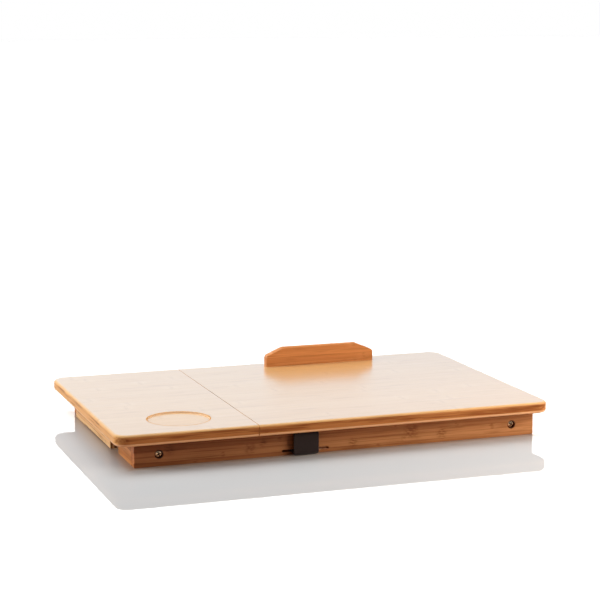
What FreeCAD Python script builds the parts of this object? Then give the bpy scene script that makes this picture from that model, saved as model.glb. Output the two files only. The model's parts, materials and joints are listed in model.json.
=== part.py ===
import FreeCAD, Part
import os
import Sketcher

# Folding lap table in laminated bamboo, lying folded on its frame.
# X runs along the long side, Y from the rear edge to the user's edge, Z up from the floor.
doc = FreeCAD.newDocument("folding_laptop_table")
dims = doc.addObject("Spreadsheet::Sheet", "dims")

# Driving sizes in millimetres
sizes = {
    # table top
    "top_length": 550,
    "top_depth": 350,
    "panel_thickness": 14,
    "corner_radius": 16,
    "rim_radius": 4,
    "fixed_width": 171,
    "seam_gap": 0.7,
    "cup_radius": 37,
    "cup_depth": 1.5,
    "cup_bevel": 0.5,
    "cup_from_left": 92,
    "cup_from_rear": 65.5,
    # frame
    "left_overhang": 25.3,
    "right_overhang": 14,
    "side_overhang": 19.3,
    "rail_height": 30,
    "rail_thickness": 14,
    "edge_break": 0.8,
    "cleat_width": 26,
    "cleat_thickness": 8,
    "cleat_side_gap": 12,
    "cleat_screw_inset": 23.7,
    # drawer
    "drawer_width": 134,
    "drawer_offset": 9,
    "finger_gap": 22,
    "drawer_front_thickness": 12,
    "drawer_proud": 4.4,
    "flush_end_taper": 16,
    "drawer_gap": 0.5,
    "drawer_front_lift": 1,
    "drawer_side_setback": 4,
    "drawer_side_thickness": 6,
    "drawer_back_gap": 9,
    "drawer_box_height": 19,
    "drawer_box_lift": 6,
    "drawer_floor_thickness": 3,
    "drawer_floor_lift": 2,
    "runner_thickness": 6,
    "runner_ledge": 8,
    "runner_ledge_thickness": 2.5,
    "runner_end_gap": 2,
    # folding legs
    "pivot_inset": 29.7,
    "pivot_height": 14.4,
    "leg_width": 25,
    "leg_thickness": 15,
    "leg_end_gap": 9,
    "foot_bar_thickness": 10,
    "washer_thickness": 1,
    "washer_radius": 7,
    "bolt_radius": 3,
    "bolt_head_radius": 4.3,
    "bolt_head_height": 2.4,
    "counterbore_radius": 5,
    "counterbore_depth": 3.4,
    "pivot_clearance": 0.06,
    "nut_radius": 5.6,
    "nut_height": 3,
    # closing strap
    "strap_from_left": 233.7,
    "strap_width": 30,
    "strap_thickness": 1.6,
    "strap_gap": 0.4,
    "strap_flap_gap": 0.4,
    "strap_bend": 3,
    "strap_slot_bend": 1.2,
    "strap_floor_gap": 0.3,
    "strap_slot_length": 59.5,
    "strap_slot_height": 2.8,
    "strap_slot_lift": 5.4,
    "strap_slot_shift": 1.7,
    "strap_recess_depth": 3,
    "strap_recess_margin": 2,
    "strap_anchor_height": 14,
    "strap_plate_thickness": 1,
    "strap_screw_spread": 8,
    "patch_thickness": 1,
    "patch_depth": 6,
    # hinges of the tilting panel
    "hinge_bolt_gap": 15,
    "hinge_length": 50,
    "leaf_thickness": 1.2,
    "leaf_width": 18,
    "knuckle_radius": 2.6,
    "knuckle_length": 15,
    "knuckle_gap": 0.4,
    "hinge_pin_radius": 1.2,
    "hinge_pin_clearance": 0.05,
    "mortise_clearance": 0.4,
    "hinge_screw_spread": 15,
    "screw_head_radius": 2.6,
    "screw_head_height": 1.4,
    "screw_radius": 1.3,
    "hinge_screw_length": 9,
    "strap_screw_length": 7,
    "cleat_screw_length": 15,
    # prop and its ladder
    "prop_room": 62.8,
    "prop_drop": 3,
    "prop_half_span": 50,
    "arm_thickness": 4,
    "arm_width": 5,
    "arm_side_gap": 0.4,
    "ear_thickness": 2,
    "ear_half_width": 4,
    "bracket_rail_gap": 7.85,
    "bracket_length": 16,
    "bracket_half_depth": 8,
    "bracket_thickness": 1.5,
    "prop_pin_radius": 1.5,
    "prop_pin_head": 1,
    "prop_pin_head_radius": 2.3,
    "prop_pin_clearance": 0.06,
    "ladder_thickness": 6,
    "ladder_clearance": 0.4,
    "ladder_margin": 12,
    "ladder_tenon": 4,
    "notch_pitch": 10.4,
    "notch_depth": 2.4,
    "notch_back": 2.9,
    "notch_ramp": 4.6,
    # book and tablet stopper
    "stopper_length": 153.6,
    "stopper_height": 24.6,
    "stopper_thickness": 11.5,
    "stopper_from_front": 17,
    "stopper_offset": 4.2,
    "stopper_clip_width": 24,
    "stopper_clip_height": 10.2,
    "stopper_corner_radius": 5,
    "peg_radius": 4,
    "peg_length": 8,
    "peg_end_gap": 0.5,
    "peg_clearance": 0.08,
    "peg_spread": 55,
}
notch_count = 4

for row, (alias, number) in enumerate(sizes.items(), start=1):
    dims.set(f"A{row}", alias)
    dims.set(f"B{row}", str(number))
    dims.setAlias(f"B{row}", alias)
doc.recompute()

# Places worked out from the driving sizes
left_edge = "(-dims.top_length / 2)"
right_edge = "(dims.top_length / 2)"
rear_edge = "(-dims.top_depth / 2)"
front_edge = "(dims.top_depth / 2)"
seam_left = f"({left_edge} + dims.fixed_width)"
seam_right = f"({seam_left} + dims.seam_gap)"
top_face = "(dims.rail_height + dims.panel_thickness)"
frame_left = f"({left_edge} + dims.left_overhang)"
frame_right = f"({right_edge} - dims.right_overhang)"
drawer_face = f"({frame_left} - dims.drawer_proud)"
frame_middle = f"(({frame_left} + {frame_right}) / 2)"
frame_side = "(dims.top_depth / 2 - dims.side_overhang)"
inner_left = f"({frame_left} + dims.rail_thickness)"
inner_right = f"({frame_right} - dims.rail_thickness)"
inner_side = f"({frame_side} - dims.rail_thickness)"
pivots = {
    "left": f"({frame_left} + dims.pivot_inset)",
    "right": f"({frame_right} - dims.pivot_inset)",
}
post_outer = f"({inner_side} - dims.washer_thickness)"
post_inner = f"({post_outer} - dims.leg_thickness)"
leg_tips = {
    "left": f"({frame_middle} - dims.rail_thickness / 2 - dims.leg_end_gap)",
    "right": f"({frame_middle} + dims.rail_thickness / 2 + dims.leg_end_gap)",
}
leg_low = "(dims.pivot_height - dims.leg_width / 2)"
hinge_y = f"({frame_side} - dims.leaf_thickness + dims.knuckle_radius)"
hinge_z = "dims.rail_height"
knuckle_room = "(dims.knuckle_radius + dims.mortise_clearance)"
panel_middle = f"(({seam_right} + {right_edge}) / 2)"
hinge_bolt_room = "(dims.counterbore_radius + dims.hinge_bolt_gap + dims.hinge_length / 2)"
right_hinge = f"({pivots['right']} - {hinge_bolt_room})"
hinge_middles = {
    "left": f"(2 * {panel_middle} - {right_hinge})",
    "right": right_hinge,
}
bracket_room = "(dims.rail_thickness / 2 + dims.bracket_rail_gap + dims.bracket_length)"
bracket_start = f"({frame_middle} + {bracket_room})"
prop_middle = f"({bracket_start} + dims.arm_side_gap + dims.arm_thickness + dims.prop_half_span)"
prop_reach = f"(({hinge_y} + {post_inner} - dims.prop_room) / 2)"
prop_y = f"({hinge_y} - {prop_reach})"
prop_z = "(dims.rail_height - dims.prop_drop)"
prop_length = f"sqrt({prop_reach} ^ 2 + dims.prop_drop ^ 2)"
prop_tip_y = f"({prop_y} - {prop_length})"
ladder_top = f"({prop_z} - dims.arm_width / 2 - dims.ladder_clearance)"
strap_middle = f"({left_edge} + dims.strap_from_left)"

directions = {
    "+x": FreeCAD.Vector(1, 0, 0),
    "-x": FreeCAD.Vector(-1, 0, 0),
    "+y": FreeCAD.Vector(0, 1, 0),
    "-y": FreeCAD.Vector(0, -1, 0),
    "+z": FreeCAD.Vector(0, 0, 1),
    "-z": FreeCAD.Vector(0, 0, -1),
}
nodes = {}


def value(text):
    return float(dims.evalExpression(text))


def minus(text):
    return f"(-({text}))"


def middle_span(middle, width):
    return (f"({middle} - ({width}) / 2)", f"({middle} + ({width}) / 2)")


def keep(label, item):
    item.Label = label
    nodes[label] = item
    return item


def set_base(item, x, y, z):
    for axis, text in zip("xyz", (x, y, z)):
        item.setExpression(f"Placement.Base.{axis}", text)


def turn_to(item, direction):
    rotation = FreeCAD.Rotation(FreeCAD.Vector(0, 0, 1), directions[direction])
    item.Placement = FreeCAD.Placement(FreeCAD.Vector(), rotation)


def block(name, x_span, y_span, z_span):
    box = doc.addObject("Part::Box", name)
    spans = (x_span, y_span, z_span)
    for size, (low, high) in zip(("Length", "Width", "Height"), spans):
        box.setExpression(size, f"({high}) - ({low})")
    set_base(box, *(low for low, high in spans))
    return box


def rod(name, direction, radius, length, x, y, z):
    cylinder = doc.addObject("Part::Cylinder", name)
    turn_to(cylinder, direction)
    cylinder.setExpression("Radius", radius)
    cylinder.setExpression("Height", length)
    set_base(cylinder, x, y, z)
    return cylinder


def fuse(name, pieces):
    joined = doc.addObject("Part::MultiFuse", name)
    joined.Shapes = pieces
    return joined


def group(name, pieces):
    compound = doc.addObject("Part::Compound", name)
    compound.Links = pieces
    return compound


def cut(name, base, tools):
    removal = tools[0] if len(tools) == 1 else fuse(f"{name}_removal", tools)
    result = doc.addObject("Part::Cut", name)
    result.Base = base
    result.Tool = removal
    return result


def sketch_on(body, name, plane):
    sketch = body.newObject("Sketcher::SketchObject", name)
    support = [item for item in body.Origin.OriginFeatures if item.Role == plane]
    sketch.AttachmentSupport = [(support[0], "")]
    sketch.MapMode = "FlatFace"
    return sketch


def bind(sketch, rule, text):
    number = sketch.addConstraint(rule)
    sketch.setExpression(f"Constraints[{number}]", text)


def disc_outline(body, name, plane, radius, x, y):
    sketch = sketch_on(body, name, plane)
    centre = FreeCAD.Vector(value(x), value(y), 0)
    sketch.addGeometry(Part.Circle(centre, directions["+z"], value(radius)), False)
    bind(sketch, Sketcher.Constraint("DistanceX", -1, 1, 0, 3, value(x)), x)
    bind(sketch, Sketcher.Constraint("DistanceY", -1, 1, 0, 3, value(y)), y)
    bind(sketch, Sketcher.Constraint("Radius", 0, value(radius)), radius)
    return sketch


def outline(body, name, plane, corners):
    sketch = sketch_on(body, name, plane)
    points = [FreeCAD.Vector(value(x), value(y), 0) for x, y in corners]
    for index, point in enumerate(points):
        following = points[(index + 1) % len(points)]
        sketch.addGeometry(Part.LineSegment(point, following), False)
    for index in range(len(points)):
        following = (index + 1) % len(points)
        sketch.addConstraint(Sketcher.Constraint("Coincident", index, 2, following, 1))
    for index, corner in enumerate(corners):
        for kind, text in zip(("DistanceX", "DistanceY"), corner):
            bind(sketch, Sketcher.Constraint(kind, -1, 1, index, 1, value(text)), text)
    return sketch


def padded_body(name, plane, corners, length):
    body = doc.addObject("PartDesign::Body", name)
    sketch = outline(body, f"{name}_outline", plane, corners)
    pad = body.newObject("PartDesign::Pad", f"{name}_pad")
    pad.Profile = sketch
    pad.setExpression("Length", length)
    doc.recompute()
    return body


def ease(body, name, radius, wanted):
    doc.recompute()
    feature = body.Tip
    chosen = []
    for number, edge in enumerate(feature.Shape.Edges, start=1):
        if wanted(edge):
            chosen.append(f"Edge{number}")
    fillet = body.newObject("PartDesign::Fillet", name)
    fillet.Base = (feature, chosen)
    fillet.setExpression("Radius", radius)
    doc.recompute()
    return body


def every_edge(edge):
    return True


def runs_along(edge, axis):
    ends = [getattr(vertex.Point, axis) for vertex in edge.Vertexes]
    return abs(abs(ends[-1] - ends[0]) - edge.Length) < 1e-6


def rectangle(x_span, y_span):
    return [
        (x_span[0], y_span[0]),
        (x_span[1], y_span[0]),
        (x_span[1], y_span[1]),
        (x_span[0], y_span[1]),
    ]


def plank(name, x_span, y_span, z_span):
    low, high = z_span
    body = padded_body(name, "XY_Plane", rectangle(x_span, y_span), f"({high}) - ({low})")
    body.setExpression("Placement.Base.z", low)
    return ease(body, f"{name}_eased", "dims.edge_break", every_edge)


def wood_screw(name, direction, length, x, y, z):
    head = doc.addObject("Part::Cone", f"{name}_head")
    turn_to(head, direction)
    head.setExpression("Radius1", "dims.screw_head_radius")
    head.setExpression("Radius2", "dims.screw_radius")
    head.setExpression("Height", "dims.screw_head_height")
    set_base(head, x, y, z)
    shank = rod(f"{name}_shank", direction, "dims.screw_radius", length, x, y, z)
    return fuse(name, [head, shank])


def bend(name, start, sweep, turn, radius, x, y, z, width):
    rotation = FreeCAD.Rotation(directions[start], directions[sweep], directions["+x"])
    walls = []
    for wall, sign in (("outer", "+"), ("inner", "-")):
        cylinder = doc.addObject("Part::Cylinder", f"{name}_{wall}")
        cylinder.Placement = FreeCAD.Placement(FreeCAD.Vector(), rotation)
        cylinder.setExpression("Radius", f"{radius} {sign} dims.strap_thickness / 2")
        cylinder.setExpression("Height", width)
        cylinder.Angle = turn
        set_base(cylinder, x, y, z)
        walls.append(cylinder)
    return cut(name, walls[0], walls[1:])


# Leg pivot bolts with their heads let into the long rails
def leg_bolts(side, x):
    bolts = []
    counterbores = []
    washers = []
    nuts = []
    for end, direction, sign in (("rear", "+y", "-"), ("front", "-y", "")):
        stem = f"{side}_{end}"
        inward = "+" if end == "rear" else "-"
        face = f"({sign}{frame_side})"
        seat = f"({face} {inward} dims.counterbore_depth)"
        crown = f"({seat} {inward} (-dims.bolt_head_height))"
        nut_face = f"({sign}{post_inner})"
        length = (
            "dims.bolt_head_height + dims.rail_thickness - dims.counterbore_depth"
            " + dims.washer_thickness + dims.leg_thickness + dims.nut_height"
        )
        height = "dims.pivot_height"
        head = rod(f"{stem}_bolt_head", direction, "dims.bolt_head_radius",
                   "dims.bolt_head_height", x, crown, height)
        shank = rod(f"{stem}_bolt_shank", direction, "dims.bolt_radius", length, x, crown, height)
        bolts.append(fuse(f"{stem}_bolt", [head, shank]))
        counterbores.append(rod(f"{stem}_counterbore", direction, "dims.counterbore_radius",
                                "dims.counterbore_depth", x, face, height))
        hole = rod(f"{stem}_bolt_hole", direction, "dims.bolt_radius + dims.pivot_clearance",
                   length, x, crown, height)
        disc = rod(f"{stem}_washer_disc", direction, "dims.washer_radius",
                   "dims.washer_thickness", x, f"({sign}{inner_side})", height)
        washers.append(cut(f"{stem}_washer", disc, [hole]))
        hexagon = doc.addObject("Part::Prism", f"{stem}_nut_blank")
        turn_to(hexagon, direction)
        hexagon.Polygon = 6
        hexagon.setExpression("Circumradius", "dims.nut_radius")
        hexagon.setExpression("Height", "dims.nut_height")
        set_base(hexagon, x, nut_face, height)
        nuts.append(cut(f"{stem}_nut", hexagon, [bolts[-1]]))
    keep(f"{side}_leg_bolts", group(f"{side}_bolt_pair", bolts))
    keep(f"{side}_leg_washers", group(f"{side}_washer_pair", washers))
    keep(f"{side}_leg_nuts", group(f"{side}_nut_pair", nuts))
    return bolts, counterbores


left_bolts, left_counterbores = leg_bolts("left", pivots["left"])
right_bolts, right_counterbores = leg_bolts("right", pivots["right"])


# Leg post rounded at its pivot end, with eased edges
def leg_post(name, span, pivot, y_high):
    height = (leg_low, f"({leg_low} + dims.leg_width)")
    body = padded_body(name, "XZ_Plane", rectangle(span, height), "dims.leg_thickness")
    eye = disc_outline(body, f"{name}_eye", "XZ_Plane", "dims.leg_width / 2", pivot, "dims.pivot_height")
    pad = body.newObject("PartDesign::Pad", f"{name}_eye_pad")
    pad.Profile = eye
    pad.setExpression("Length", "dims.leg_thickness")
    body.setExpression("Placement.Base.y", y_high)
    pivot_place = value(pivot)

    def not_tangent(edge):
        return not runs_along(edge, "y") or abs(edge.CenterOfMass.x - pivot_place) > 1e-6

    return ease(body, f"{name}_eased", "dims.edge_break", not_tangent)


# U-shaped leg, lying folded between the long rails with its foot bar towards the middle
def leg(side):
    pivot = pivots[side]
    tip = leg_tips[side]
    span = (pivot, tip) if side == "left" else (tip, pivot)
    for end, y_span in (("rear", (minus(post_outer), minus(post_inner))),
                        ("front", (post_inner, post_outer))):
        stem = f"{side}_{end}_post"
        shaped = leg_post(f"{stem}_shaped", span, pivot, y_span[1])
        hole = rod(f"{stem}_hole", "+y", "dims.bolt_radius + dims.pivot_clearance",
                   "dims.leg_thickness", pivot, y_span[0], "dims.pivot_height")
        keep(f"{side}_leg_{end}_post", cut(f"{stem}_bored", shaped, [hole]))
    bar_end = f"({tip} {'-' if side == 'left' else '+'} dims.leg_width)"
    bar_span = (bar_end, tip) if side == "left" else (tip, bar_end)
    bar_height = (leg_low, f"({leg_low} + dims.foot_bar_thickness)")
    bar = plank(f"{side}_bar", bar_span, (minus(post_inner), post_inner), bar_height)
    keep(f"{side}_leg_foot_bar", bar)


leg("left")
leg("right")

# Closing strap: out of the rear rail's slot, round a slack fold and up to the overhang
strap_span = middle_span(strap_middle, "dims.strap_width")
rear_face = minus(frame_side)
inner_run = f"({rear_face} - dims.strap_gap - dims.strap_thickness / 2)"
outer_run = f"({inner_run} - 2 * dims.strap_bend)"
fold_z = "(dims.strap_floor_gap + dims.strap_bend + dims.strap_thickness / 2)"
patch_low = "(dims.rail_height - dims.patch_thickness)"
flap_z = f"({patch_low} - dims.strap_flap_gap - dims.strap_thickness / 2)"
flap_end = f"({rear_face} - dims.strap_gap)"
recess_floor = f"({minus(inner_side)} - dims.strap_recess_depth)"
slot_centre = "dims.strap_slot_lift"
anchor_top = f"({slot_centre} + dims.strap_anchor_height)"
fold = bend("strap_fold", "-y", "-z", 180, "dims.strap_bend",
            strap_span[0], f"({inner_run} - dims.strap_bend)", fold_z, "dims.strap_width")
top_bend = bend("strap_top_bend", "+z", "-y", 90, "dims.strap_bend", strap_span[0],
                f"({outer_run} + dims.strap_bend)", f"({flap_z} - dims.strap_bend)",
                "dims.strap_width")
slot_bend = bend("strap_slot_bend", "+z", "-y", 90, "dims.strap_slot_bend", strap_span[0],
                 f"({inner_run} + dims.strap_slot_bend)",
                 f"({slot_centre} - dims.strap_slot_bend)", "dims.strap_width")
rise = block("strap_rise", strap_span, middle_span(inner_run, "dims.strap_thickness"),
             (fold_z, f"({slot_centre} - dims.strap_slot_bend)"))
face = block("strap_face", strap_span, middle_span(outer_run, "dims.strap_thickness"),
             (fold_z, f"({flap_z} - dims.strap_bend)"))
flap = block("strap_flap", strap_span, (f"({outer_run} + dims.strap_bend)", flap_end),
             middle_span(flap_z, "dims.strap_thickness"))
through = block("strap_through", strap_span,
                (f"({inner_run} + dims.strap_slot_bend)", f"({recess_floor} + dims.strap_thickness)"),
                middle_span(slot_centre, "dims.strap_thickness"))
anchor = block("strap_anchor", strap_span, (recess_floor, f"({recess_floor} + dims.strap_thickness)"),
               (f"({slot_centre} - dims.strap_thickness / 2)", anchor_top))
strap_blank = fuse("strap_blank", [fold, top_bend, slot_bend, rise, face, flap, through, anchor])
plate_y = f"({recess_floor} + dims.strap_thickness)"
plate_face = f"({plate_y} + dims.strap_plate_thickness)"
plate_span = (f"({slot_centre} + dims.strap_slot_height)", anchor_top)
plate_blank = block("strap_plate_blank", strap_span, (plate_y, plate_face), plate_span)
plate_height = f"(({plate_span[0]} + {plate_span[1]}) / 2)"
strap_screws = []
for name, sign in (("left", "-"), ("right", "+")):
    at_x = f"({strap_middle} {sign} dims.strap_screw_spread)"
    strap_screws.append(wood_screw(f"strap_screw_{name}", "-y", "dims.strap_screw_length",
                                   at_x, plate_face, plate_height))
strap_screw_pair = group("strap_screw_pair", strap_screws)
keep("strap", cut("strap_webbing", strap_blank, [strap_screw_pair]))
keep("strap_plate", cut("strap_plate_drilled", plate_blank, [strap_screw_pair]))
keep("strap_screws", strap_screw_pair)
patch = block("strap_patch_blank", strap_span, (f"({flap_end} - dims.patch_depth)", flap_end),
              (patch_low, "dims.rail_height"))
keep("strap_patch", patch)

# Butt hinges at the user's edge, leaves let into the front rail and the tilting panel
leaf_pieces = {}
hinge_screw_sets = {"rail": [], "panel": []}
for side, middle in hinge_middles.items():
    whole = middle_span(middle, "dims.hinge_length")
    first_end = f"({whole[0]} + dims.knuckle_length)"
    last_start = f"({whole[1]} - dims.knuckle_length)"
    centre_span = (f"({first_end} + dims.knuckle_gap)", f"({last_start} - dims.knuckle_gap)")
    leaf_y = (f"({frame_side} - dims.leaf_thickness)", frame_side)
    leaf_low = "(dims.rail_height - dims.leaf_width)"
    leaf_high = f"({hinge_z} - {knuckle_room})"
    rail_plate = block(f"{side}_rail_plate", whole, leaf_y, (leaf_low, leaf_high))
    rail_parts = [rail_plate]
    for order, span in (("first", (whole[0], first_end)), ("last", (last_start, whole[1]))):
        rail_parts.append(block(f"{side}_{order}_neck", span, leaf_y, (leaf_low, hinge_z)))
        rail_parts.append(rod(f"{side}_{order}_knuckle", "+x", "dims.knuckle_radius",
                              "dims.knuckle_length", span[0], hinge_y, hinge_z))
    leaf_z = (hinge_z, f"({hinge_z} + dims.leaf_thickness)")
    leaf_start = f"({hinge_y} - dims.leaf_width)"
    leaf_stop = f"({hinge_y} - {knuckle_room})"
    panel_plate = block(f"{side}_panel_plate", whole, (leaf_start, leaf_stop), leaf_z)
    panel_neck = block(f"{side}_panel_neck", centre_span, (leaf_start, hinge_y), leaf_z)
    panel_knuckle = rod(f"{side}_panel_knuckle", "+x", "dims.knuckle_radius",
                        f"{centre_span[1]} - {centre_span[0]}", centre_span[0], hinge_y, hinge_z)
    bore = rod(f"{side}_hinge_bore", "+x", "dims.hinge_pin_radius + dims.hinge_pin_clearance",
               "dims.hinge_length", whole[0], hinge_y, hinge_z)
    pin = rod(f"{side}_hinge_pin_rod", "+x", "dims.hinge_pin_radius", "dims.hinge_length",
              whole[0], hinge_y, hinge_z)
    keep(f"hinge_pin_{side}", pin)
    rail_screws = []
    panel_screws = []
    for order, sign in (("first", "-"), ("last", "+")):
        at_x = f"({middle} {sign} dims.hinge_screw_spread)"
        rail_screws.append(wood_screw(f"{side}_{order}_rail_screw", "-y", "dims.hinge_screw_length",
                                      at_x, frame_side, f"(({leaf_low} + {leaf_high}) / 2)"))
        panel_screws.append(wood_screw(f"{side}_{order}_panel_screw", "+z", "dims.hinge_screw_length",
                                       at_x, f"(({leaf_start} + {leaf_stop}) / 2)", hinge_z))
    rail_leaf = fuse(f"{side}_rail_leaf_blank", rail_parts)
    keep(f"hinge_rail_leaf_{side}", cut(f"{side}_rail_leaf", rail_leaf, [bore, *rail_screws]))
    panel_leaf = fuse(f"{side}_panel_leaf_blank", [panel_plate, panel_neck, panel_knuckle])
    keep(f"hinge_panel_leaf_{side}", cut(f"{side}_panel_leaf", panel_leaf, [bore, *panel_screws]))
    room = (f"({whole[0]} - dims.mortise_clearance)", f"({whole[1]} + dims.mortise_clearance)")
    rail_mortise = block(f"{side}_rail_mortise", whole, leaf_y, (leaf_low, hinge_z))
    rail_relief = block(f"{side}_rail_relief", room, (f"({hinge_y} - {knuckle_room})", frame_side),
                        (f"({hinge_z} - {knuckle_room})", hinge_z))
    panel_mortise = block(f"{side}_panel_mortise", whole, (leaf_start, hinge_y), leaf_z)
    panel_relief = block(f"{side}_panel_relief", room,
                         (f"({hinge_y} - {knuckle_room})", f"({hinge_y} + {knuckle_room})"),
                         (hinge_z, f"({hinge_z} + {knuckle_room})"))
    leaf_pieces[side] = {"rail": [rail_mortise, rail_relief], "panel": [panel_mortise, panel_relief]}
    hinge_screw_sets["rail"].extend(rail_screws)
    hinge_screw_sets["panel"].extend(panel_screws)
for leaf, screws in hinge_screw_sets.items():
    keep(f"hinge_{leaf}_screws", group(f"hinge_{leaf}_screw_set", screws))

# Prop: two arms and a tip rod, swinging on brackets under the tilting panel
pin_pair = []
pivot_height_span = (f"({prop_z} - dims.arm_width / 2)", f"({prop_z} + dims.arm_width / 2)")
for side, sign, away in (("left", "-", "-x"), ("right", "+", "+x")):
    inner = f"({prop_middle} {sign} dims.prop_half_span)"
    outer = f"({inner} {sign} dims.arm_thickness)"
    ear_near = f"({outer} {sign} dims.arm_side_gap)"
    ear_far = f"({ear_near} {sign} dims.ear_thickness)"
    plate_far = f"({ear_near} {sign} dims.bracket_length)"
    arm_span = (outer, inner) if sign == "-" else (inner, outer)
    ear_span = (ear_far, ear_near) if sign == "-" else (ear_near, ear_far)
    base_span = (plate_far, ear_near) if sign == "-" else (ear_near, plate_far)
    bar = block(f"{side}_arm_bar", arm_span, (prop_tip_y, prop_y), pivot_height_span)
    root_eye = rod(f"{side}_arm_root", "+x", "dims.arm_width / 2", "dims.arm_thickness",
                   arm_span[0], prop_y, prop_z)
    tip_eye = rod(f"{side}_arm_tip", "+x", "dims.arm_width / 2", "dims.arm_thickness",
                  arm_span[0], prop_tip_y, prop_z)
    hole = rod(f"{side}_arm_hole", "+x", "dims.prop_pin_radius + dims.prop_pin_clearance",
               "dims.arm_thickness", arm_span[0], prop_y, prop_z)
    arm_blank = fuse(f"{side}_arm_blank", [bar, root_eye, tip_eye])
    keep(f"prop_arm_{side}", cut(f"{side}_arm", arm_blank, [hole]))
    base = block(f"{side}_bracket_base", base_span, middle_span(prop_y, "2 * dims.bracket_half_depth"),
                 ("dims.rail_height - dims.bracket_thickness", "dims.rail_height"))
    ear = block(f"{side}_bracket_ear", ear_span, middle_span(prop_y, "2 * dims.ear_half_width"),
                (f"({prop_z} - dims.arm_width / 2)", "dims.rail_height"))
    head_length = "dims.prop_pin_head"
    pin_start = f"({inner} {'+' if sign == '-' else '-'} {head_length})"
    pin_length = f"{head_length} + dims.arm_thickness + dims.arm_side_gap + dims.ear_thickness"
    shank = rod(f"{side}_prop_pin_shank", away, "dims.prop_pin_radius", pin_length,
                pin_start, prop_y, prop_z)
    head = rod(f"{side}_prop_pin_head", away, "dims.prop_pin_head_radius", head_length,
               pin_start, prop_y, prop_z)
    prop_pin = fuse(f"{side}_prop_pin", [shank, head])
    pin_pair.append(prop_pin)
    bracket_blank = fuse(f"{side}_bracket_blank", [base, ear])
    keep(f"prop_bracket_{side}", cut(f"{side}_bracket", bracket_blank, [prop_pin]))
keep("prop_pins", group("prop_pin_pair", pin_pair))
tip_rod = rod("prop_tip_bar", "+x", "dims.arm_width / 2", "2 * dims.prop_half_span",
              f"({prop_middle} - dims.prop_half_span)", prop_tip_y, prop_z)
keep("prop_tip_rod", tip_rod)

# Notched board that the prop's tip stands on, tenoned between centre rail and right end rail
ladder_low = f"({ladder_top} - dims.ladder_thickness)"
notch_floor = f"({ladder_top} - dims.notch_depth)"
ladder_rear = f"({prop_tip_y} - dims.ladder_margin)"
ladder_front = f"({prop_tip_y} + {notch_count} * dims.notch_pitch + dims.ladder_margin)"
ladder_corners = [(ladder_rear, ladder_low), (ladder_front, ladder_low), (ladder_front, ladder_top)]
for number in range(notch_count, 0, -1):
    notch = f"({prop_tip_y} + {number} * dims.notch_pitch)"
    ladder_corners.append((f"({notch} + dims.notch_ramp)", ladder_top))
    ladder_corners.append((f"({notch} - dims.notch_back)", notch_floor))
    ladder_corners.append((f"({notch} - dims.notch_back)", ladder_top))
ladder_corners.append((ladder_rear, ladder_top))
ladder_start = f"({frame_middle} + dims.rail_thickness / 2 - dims.ladder_tenon)"
ladder_end = f"({inner_right} + dims.ladder_tenon)"
ladder = padded_body("ladder", "YZ_Plane", ladder_corners, f"{ladder_end} - {ladder_start}")
ladder.setExpression("Placement.Base.x", ladder_start)
keep("ladder_board", ladder)
ladder_housing = block("ladder_housing", (ladder_start, ladder_end), (ladder_rear, ladder_front),
                       (ladder_low, ladder_top))

# Frame rails under the top
rear_span = (minus(frame_side), minus(inner_side))
front_span = (inner_side, frame_side)
rail_span = ("0", "dims.rail_height")
inside_span = (minus(inner_side), inner_side)
long_span = (frame_left, frame_right)
slot_middle = f"({strap_middle} + dims.strap_slot_shift)"
slot_straight = "dims.strap_slot_length - dims.strap_slot_height"
slot_span = middle_span(slot_middle, slot_straight)
slot = [block("strap_slot", slot_span, rear_span, middle_span(slot_centre, "dims.strap_slot_height"))]
for end, place in zip(("left", "right"), slot_span):
    slot.append(rod(f"strap_slot_{end}", "+y", "dims.strap_slot_height / 2", "dims.rail_thickness",
                    place, rear_face, slot_centre))
recess_span = middle_span(strap_middle, "dims.strap_width + 2 * dims.strap_recess_margin")
recess_height = (f"({slot_centre} - dims.strap_slot_height / 2)",
                 f"({anchor_top} + dims.strap_recess_margin)")
recess = block("strap_recess", recess_span, (recess_floor, minus(inner_side)), recess_height)
rear_blank = plank("rear_rail_blank", long_span, rear_span, rail_span)
keep("rear_rail", cut("rear_rail_worked", rear_blank,
                      [*slot, recess, left_bolts[0], left_counterbores[0], right_bolts[0],
                       right_counterbores[0], *strap_screws]))
front_blank = plank("front_rail_blank", long_span, front_span, rail_span)
front_tools = [left_bolts[1], left_counterbores[1], right_bolts[1], right_counterbores[1]]
for side in hinge_middles:
    front_tools.extend(leaf_pieces[side]["rail"])
keep("front_rail", cut("front_rail_worked", front_blank, [*front_tools, *hinge_screw_sets["rail"]]))
right_blank = plank("right_end_blank", (inner_right, frame_right), inside_span, rail_span)
keep("right_end_rail", cut("right_end_worked", right_blank, [ladder_housing]))
centre_span = middle_span(frame_middle, "dims.rail_thickness")
centre_blank = plank("centre_blank", centre_span, inside_span, rail_span)
keep("centre_rail", cut("centre_worked", centre_blank, [ladder_housing]))
left_span = (frame_left, inner_left)
mouth_rear = "(dims.drawer_offset - dims.drawer_width / 2 - dims.finger_gap)"
mouth_front = "(dims.drawer_offset + dims.drawer_width / 2 + dims.drawer_gap)"
keep("left_end_rail_rear", plank("left_end_rear", left_span, (minus(inner_side), mouth_rear), rail_span))
flush_corners = [  # flush with the drawer's face, then back to the front rail's end
    (inner_left, mouth_front),
    (inner_left, inner_side),
    (frame_left, inner_side),
    (drawer_face, f"({inner_side} - dims.flush_end_taper)"),
    (drawer_face, mouth_front),
]
flush_rail = padded_body("left_end_front", "XY_Plane", flush_corners, "dims.rail_height")
keep("left_end_rail_front", ease(flush_rail, "left_end_front_eased", "dims.edge_break", every_edge))

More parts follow.
